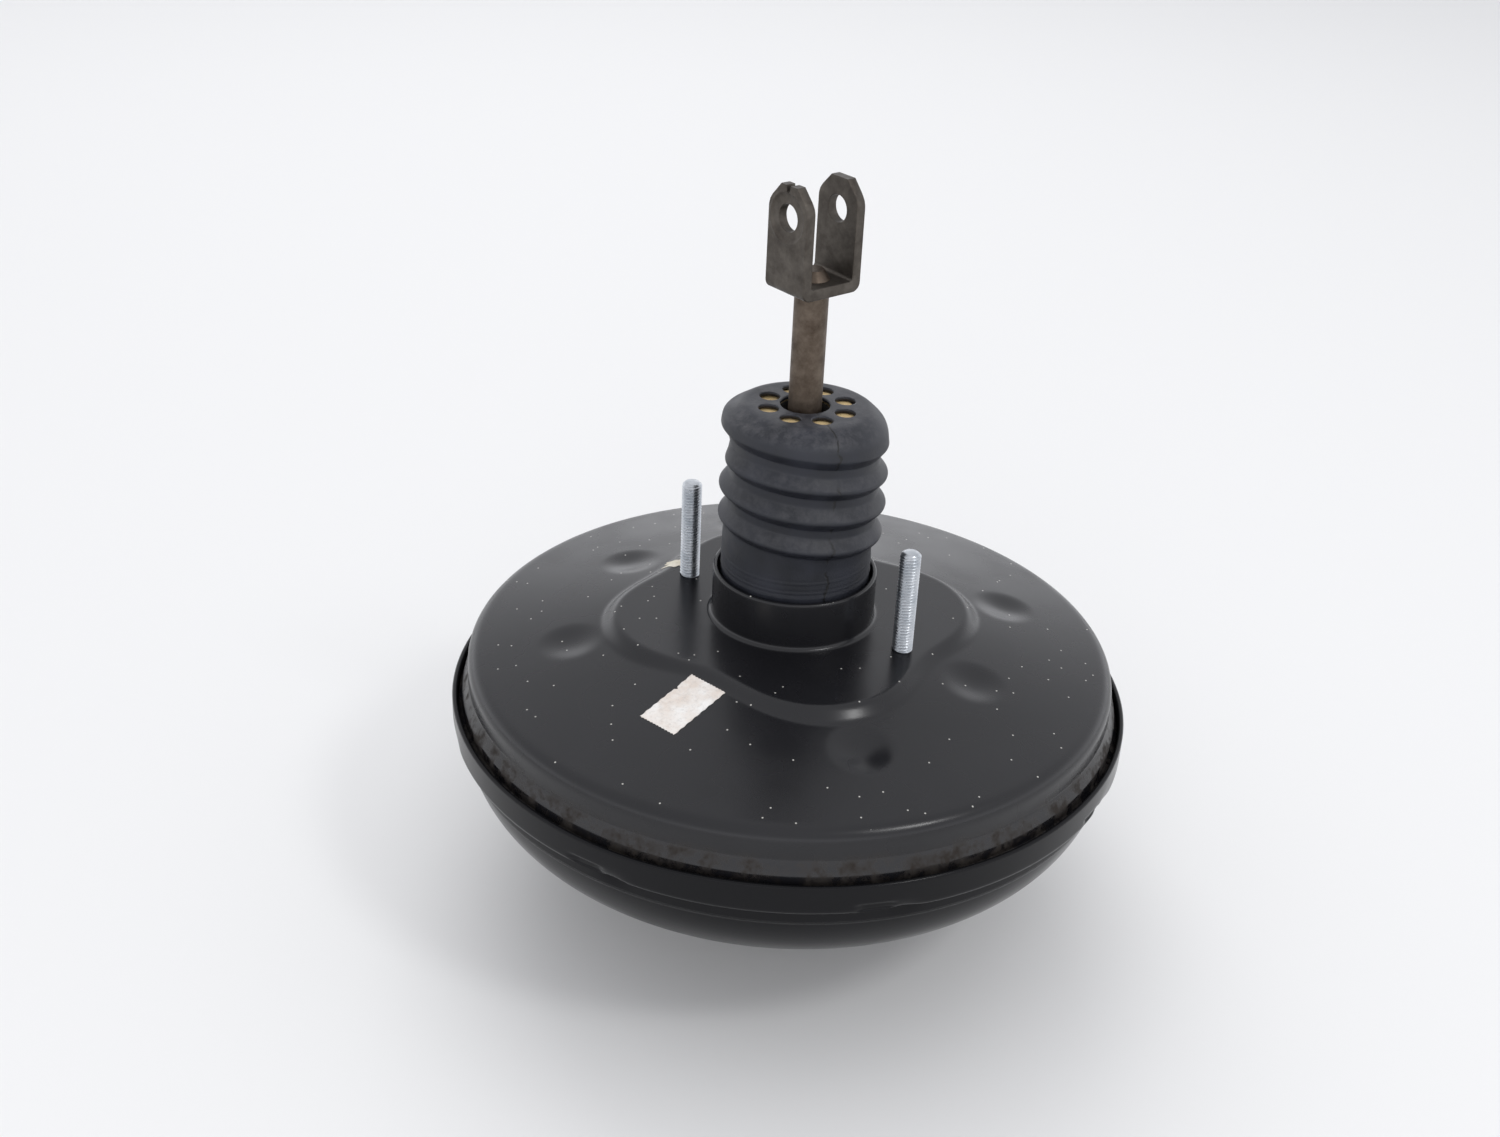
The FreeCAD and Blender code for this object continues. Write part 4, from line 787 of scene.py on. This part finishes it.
# %% Boot finish
def boot_rubber():
    """Bluish-black rubber, paler and dustier on what faces up, with fine cracks down one side."""
    material, add, to_shader = new_material("bluish_black_boot_rubber")
    coords = place(add)
    parts = add("SeparateXYZ", {"Vector": coords}).outputs
    tone = remap(add, noise(add, coords, 16, 5), 0.35, 0.68, 0.0, 1.0)
    base = mix(add, tone, linear("#17191f"), linear("#25272f"))
    up = add("SeparateXYZ", {"Vector": add("NewGeometry").outputs["Normal"]}).outputs["Z"]
    dusty = calc(add, "MULTIPLY", remap(add, up, 0.2, 0.9, 0.0, 0.45),
                 remap(add, noise(add, coords, 4, 6, 0.7), 0.42, 0.7, 0.0, 1.0))
    base = mix(add, dusty, base, linear("#5b5a5c"))
    turn = calc(add, "ARCTAN2", parts["Y"], parts["X"])
    wander = remap(add, noise(add, coords, 11, 4), 0.0, 1.0, -0.16, 0.16)
    across = calc(add, "ABSOLUTE", calc(add, "ADD", calc(add, "ADD", turn, 0.62), wander))
    crack = calc(add, "MULTIPLY", remap(add, across, 0.006, 0.022, 1.0, 0.0),
                 remap(add, noise(add, coords, 7, 3), 0.42, 0.5, 0.0, 1.0), clamp=True)
    base = mix(add, crack, base, linear("#0a0a0c"))
    to_shader("Base Color", base)
    to_shader("Roughness", remap(add, noise(add, coords, 8, 4), 0.3, 0.7, 0.42, 0.6))
    to_shader("Specular IOR Level", 0.45)
    skin = calc(add, "SUBTRACT", noise(add, coords, 0.9, 4), calc(add, "MULTIPLY", crack, 2.0))
    to_shader("Normal", bump(add, skin, 0.08, 0.5))
    return material


BOOT = boot_rubber()


# %% [markdown]
# ## The boot's shape
# The folds could be modelled by hand, but four crest heights and a few radii give them all. The
# breather holes go straight through the dome, so they are cut out with upright cylinders.

# %% Boot profile and breather holes
CRESTS = [40.2, 52.8, 65.4, 77.6]  # heights of the folds' crests, mm
ROD_HOLE = 9.3
BOOT_SHIFT = (1.2, -0.4)  # how far the free end stands off the axis, mm


def boot_profile():
    """The skin as one path (r, z): up the outside, over the dome, and down the inside."""
    outside = [(30.0, 8.5, 0), (30.0, 12.5, 0.8), (29.0, 12.8, 0.5), (29.0, 37.0, 1.2)]
    inside = [(23.2, 86.7, 4.0), (28.6, 82.6, 5.0)]
    for i, crest in enumerate(CRESTS):
        if i:
            outside += [(28.5, crest - 7.4, 1.6), (28.6, crest - 3.9, 1.0)]
        outside.append((32.3 if i < 3 else 31.5, crest, 1.9))
    outside += [(30.6, 83.6, 6.0), (24.0, 88.3, 6.0), (ROD_HOLE, 88.3, 0.6),
                (ROD_HOLE, 86.7, 0.5)]
    for i, crest in reversed(list(enumerate(CRESTS))):
        inside.append((30.3, crest, 1.4))
        if i:
            inside += [(27.0, crest - 3.6, 1.2), (26.8, crest - 7.2, 1.4)]
    inside += [(27.1, 36.6, 1.2), (27.0, 8.5, 0)]
    return rounded_path(outside + inside, 0.8)


def breather_cutter():
    """Eight upright cylinders of radius 4 mm, on a circle of radius 15.3 mm round the rod."""
    sides, holes, reach, radius, first = 32, 8, 15.3, 4.0, 7.6
    centre = np.radians(np.arange(holes) * (360.0 / holes) + first)[:, None]
    ring = np.linspace(0, 2 * np.pi, sides, endpoint=False)[None, :]
    x = BOOT_SHIFT[0] + reach * np.cos(centre) + radius * np.cos(ring)
    y = BOOT_SHIFT[1] + reach * np.sin(centre) + radius * np.sin(ring)
    vertices, faces = [], []
    for hole in range(holes):
        low = len(vertices)
        high = low + sides
        for level in (80.0, 96.0):
            vertices += [(x[hole, i] * MM, y[hole, i] * MM, level * MM) for i in range(sides)]
        faces += [(low + i, low + (i + 1) % sides, high + (i + 1) % sides, high + i)
                  for i in range(sides)]
        faces += [tuple(low + i for i in reversed(range(sides))),
                  tuple(high + i for i in range(sides))]
    return mesh_piece("breather_cutter", vertices, faces, body="housing")


# %% Boot
def boot():
    """The turned profile with rings on the sleeve, a tilt that grows above the neck, ripples,
    one dent, and the free end moved sideways. The rod hole stays nearly on the axis, so that the
    rod clears it at both ends of its tilt."""
    r, z, angle = turned(boot_profile(), 320)
    sleeve = smooth((z - 20.0) / 1.5) * smooth((28.5 - z) / 1.5) * (r > 28.0)
    r = r + 0.22 * np.sin(2 * np.pi * z / 1.9) * sleeve
    free = smooth((z - 31) / 7) * smooth((r - 8) / 18)
    lean = 2.8 * np.cos(angle_gap(angle, 212)) + 1.5 * np.cos(angle_gap(angle, -58))
    z = z + lean * free * (1 - 0.85 * smooth((z - 79) / 9))
    ripple = np.sin(2 * angle + 0.5) * 0.2 + np.sin(3 * angle + z / 9) * 0.15
    r = r + ripple * free
    dent = np.exp(-(angle_gap(angle, 208) / 0.36) ** 2) * np.exp(-((z - 68) / 5.0) ** 2)
    r = r - 3.0 * dent
    points = to_points(r, z, angle)
    off_centre = 0.12 + 0.88 * smooth((r - ROD_HOLE) / 4.0)
    points[..., 0] += BOOT_SHIFT[0] * MM * smooth((z - 31) / 12) * off_centre
    points[..., 1] += BOOT_SHIFT[1] * MM * smooth((z - 31) / 30) * off_centre
    piece = grid_piece("bellows_boot", points, material=BOOT)
    cut_mesh = bake_cuts(piece, [breather_cutter()], BOOT)
    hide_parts("rubber_boot")
    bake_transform(piece)
    print("boot:", len(cut_mesh.polygons), "faces after the breather holes")
    return piece


boot()

# %% [markdown]
# ## A blank label and a torn scrap
# The photograph shows a small off-white label, stained in the middle and nicked in one long
# side, and a scrap of cream paper at the foot of the left stud. The label stays bare. Both are
# thin sheets that follow the painted face under them, so they take their heights from the same
# formula as the face.

# %% Paper
def paper(name, colour, stain):
    """Aged paper: a pale tone with brown stains, grey scuffs and soft fibres."""
    material, add, to_shader = new_material(name)
    coords = place(add)
    blot = remap(add, noise(add, coords, 11, 5, 0.6), 0.40, 0.66, 0.0, 0.85)
    scuff = remap(add, noise(add, coords, 1.6, 6, 0.8), 0.50, 0.66, 0.0, 0.5)
    base = mix(add, blot, linear(colour), linear(stain))
    to_shader("Base Color", mix(add, scuff, base, linear("#b9b4b0")))
    to_shader("Roughness", 0.75)
    to_shader("Normal", bump(add, noise(add, coords, 0.8, 4), 0.05, 0.5))
    return material


# %% Sheets that follow the shell
def sheet_on_shell(name, centre, turn_degrees, half_long, half_wide, finish, edge):
    """A sheet 0.15 mm thick on the rear shell. u runs along it and v across it, each from -1 to 1.
    edge(u, v) moves a point of the flat sheet, in mm, to tear its outline."""
    u, v = np.meshgrid(np.linspace(-1, 1, 90), np.linspace(-1, 1, 40), indexing="ij")
    shift = edge(u, v)
    along, across = u * half_long + shift[0], v * half_wide + shift[1]
    a = math.radians(turn_degrees)
    x = centre[0] + along * math.cos(a) - across * math.sin(a)
    y = centre[1] + along * math.sin(a) + across * math.cos(a)
    r, angle = np.hypot(x, y), np.arctan2(y, x)
    base = rear_height(r, angle)
    top = np.stack([x, y, base + 0.20], -1)
    under = np.stack([x, y, base + 0.03], -1)
    count = top.shape[0] * top.shape[1]
    index = np.arange(count).reshape(top.shape[:2])
    a0, a1, a2, a3 = index[:-1, :-1], index[1:, :-1], index[1:, 1:], index[:-1, 1:]
    upper = np.stack([a0, a1, a2, a3], -1).reshape(-1, 4)
    lower = upper[:, ::-1] + count
    loop = np.concatenate([index[:, 0], index[-1, 1:], index[-2::-1, -1], index[0, -2:0:-1]])
    after = np.roll(loop, -1)
    walls = np.stack([loop, loop + count, after + count, after], -1)
    points = np.concatenate([top.reshape(-1, 3), under.reshape(-1, 3)]) * MM
    return mesh_piece(name, points, np.concatenate([upper, lower, walls]), finish, "housing")


# %% Label and scrap
def label_edge(u, v):
    """A torn nick in one long side, a third of the way along, and slightly frayed borders."""
    nick = 1.3 * np.exp(-((u - 0.36) / 0.045) ** 2) * smooth((v - 0.7) / 0.3)
    fray = 0.16 * np.sin(37 * v + 3 * u) * smooth((np.abs(u) - 0.9) / 0.1)
    return fray, 0.14 * np.sin(23 * u) * smooth((np.abs(v) - 0.9) / 0.1) - nick


def scrap_edge(u, v):
    """A ragged outline: the border moves in and out by sines of its own angle."""
    turn = np.arctan2(v, u)
    rim = smooth((np.maximum(np.abs(u), np.abs(v)) - 0.3) / 0.7)
    pull = -1.6 + 1.1 * np.sin(3 * turn + 1.0) + 0.8 * np.sin(7 * turn)
    return rim * pull * u, rim * pull * v * 0.6


LABEL = paper("aged_label_paper", "#eeedeb", "#d8cbc0")
SCRAP = paper("cream_paper_scrap", "#e6e1d2", "#c9bda4")
label = sheet_on_shell("blank_label", (0.24, -76.0), 82.8, 13.9, 8.3, LABEL, label_edge)
scrap = sheet_on_shell("paper_scrap", (-59.0, 4.6), 20.0, 6.4, 4.4, SCRAP, scrap_edge)

# %% [markdown]
# ## The rolling diaphragm
# The diaphragm crosses the stroke: its bead stays with the housing and the rest goes with the
# piston. Here it is one piece that rides on no body. Its lobe hangs forward of the
# clamped bead.

# %% Diaphragm
def diaphragm():
    """The profile turned round the axis: the upper face, the inside of the rolling lobe (a half
    circle), the clamped bead, the outside of the lobe and the lower face."""
    lobe_r, lobe_z = 122.3, -44
    upper = rounded_path([(23.5, -12.2, 0), (62.0, -12.2, 6.0), (113.0, -21.4, 5.0),
                          (119.8, -28.6, 3.0), (119.8, -44.0, 0)], 2.0)
    half_turn = np.linspace(np.pi, 2 * np.pi, 12)
    lobe_inside, lobe_outside = [
        np.stack([lobe_r + radius * np.cos(a), lobe_z + radius * np.sin(a)], 1)
        for radius, a in ((2.5, half_turn), (4.1, half_turn[::-1]))]
    bead = rounded_path([(124.8, -43.5, 0), (124.8, -38.2, 0.6), (131.5, -38.2, 0.6),
                         (131.5, -41.8, 0.6), (126.4, -41.8, 0.3), (126.4, -43.5, 0)], 1.2)
    lower = rounded_path([(118.25, -43.0, 0), (118.25, -28.0, 3.0), (112.6, -23.2, 5.0),
                          (62.0, -13.9, 6.0), (23.5, -13.9, 0)], 2.0)
    path = np.concatenate([upper[:-1], lobe_inside, bead, lobe_outside, lower])
    r, z, angle = turned(path, 256)
    piece = grid_piece("rolling_diaphragm", to_points(r, z, angle), material=SEAL_RUBBER)
    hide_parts("diaphragm")
    return piece


membrane = diaphragm()
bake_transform(membrane)


# %% [markdown]
# ## The return spring
# The spring pushes the piston back, and its coils close up over the stroke. A curve with a round
# bevel would do, but a grid gives closed ends and a mesh that can be exported as it is.

# %% Return spring
def coil(name, radius, wire, low, high, turns):
    """A spring wire round a helix. The pitch is small over the first and last 3/4 turn, which are
    closed and ground flat, and the section is a circle across the helix."""
    sides = 18
    t = np.linspace(0, 1, int(turns * 48) + 1)
    free = np.clip((t * turns - 0.75) / (turns - 1.5), 0, 1)
    height = low + wire / 2 + (high - low - wire) * (0.06 * t + 0.94 * free)
    angle = t * turns * 2 * np.pi
    centre = np.stack([radius * np.cos(angle), radius * np.sin(angle), height], -1)
    along = np.gradient(centre, axis=0)
    along /= np.linalg.norm(along, axis=1)[:, None]
    out = np.stack([np.cos(angle), np.sin(angle), 0 * angle], -1)
    upward = np.cross(along, out)
    around = np.linspace(0, 2 * np.pi, sides, endpoint=False)[None, :, None]
    section = np.cos(around) * out[:, None] + np.sin(around) * upward[:, None]
    tube = centre[:, None] + wire / 2 * section
    caps = [centre[end, None] + (tube[end] - centre[end, None]) * 0.02
            for end in (slice(0, 1), slice(-1, None))]
    tube = np.concatenate([caps[0], tube, caps[1]])
    tube[..., 2] = np.clip(tube[..., 2], low, high)
    return grid_piece(name, tube * MM, close_u=False, material=SPRING_WIRE)


spring = coil("return_spring_wire", 27.0, 4.0, -95.5, -18.5, 4.5)
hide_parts("return_spring")
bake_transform(spring)
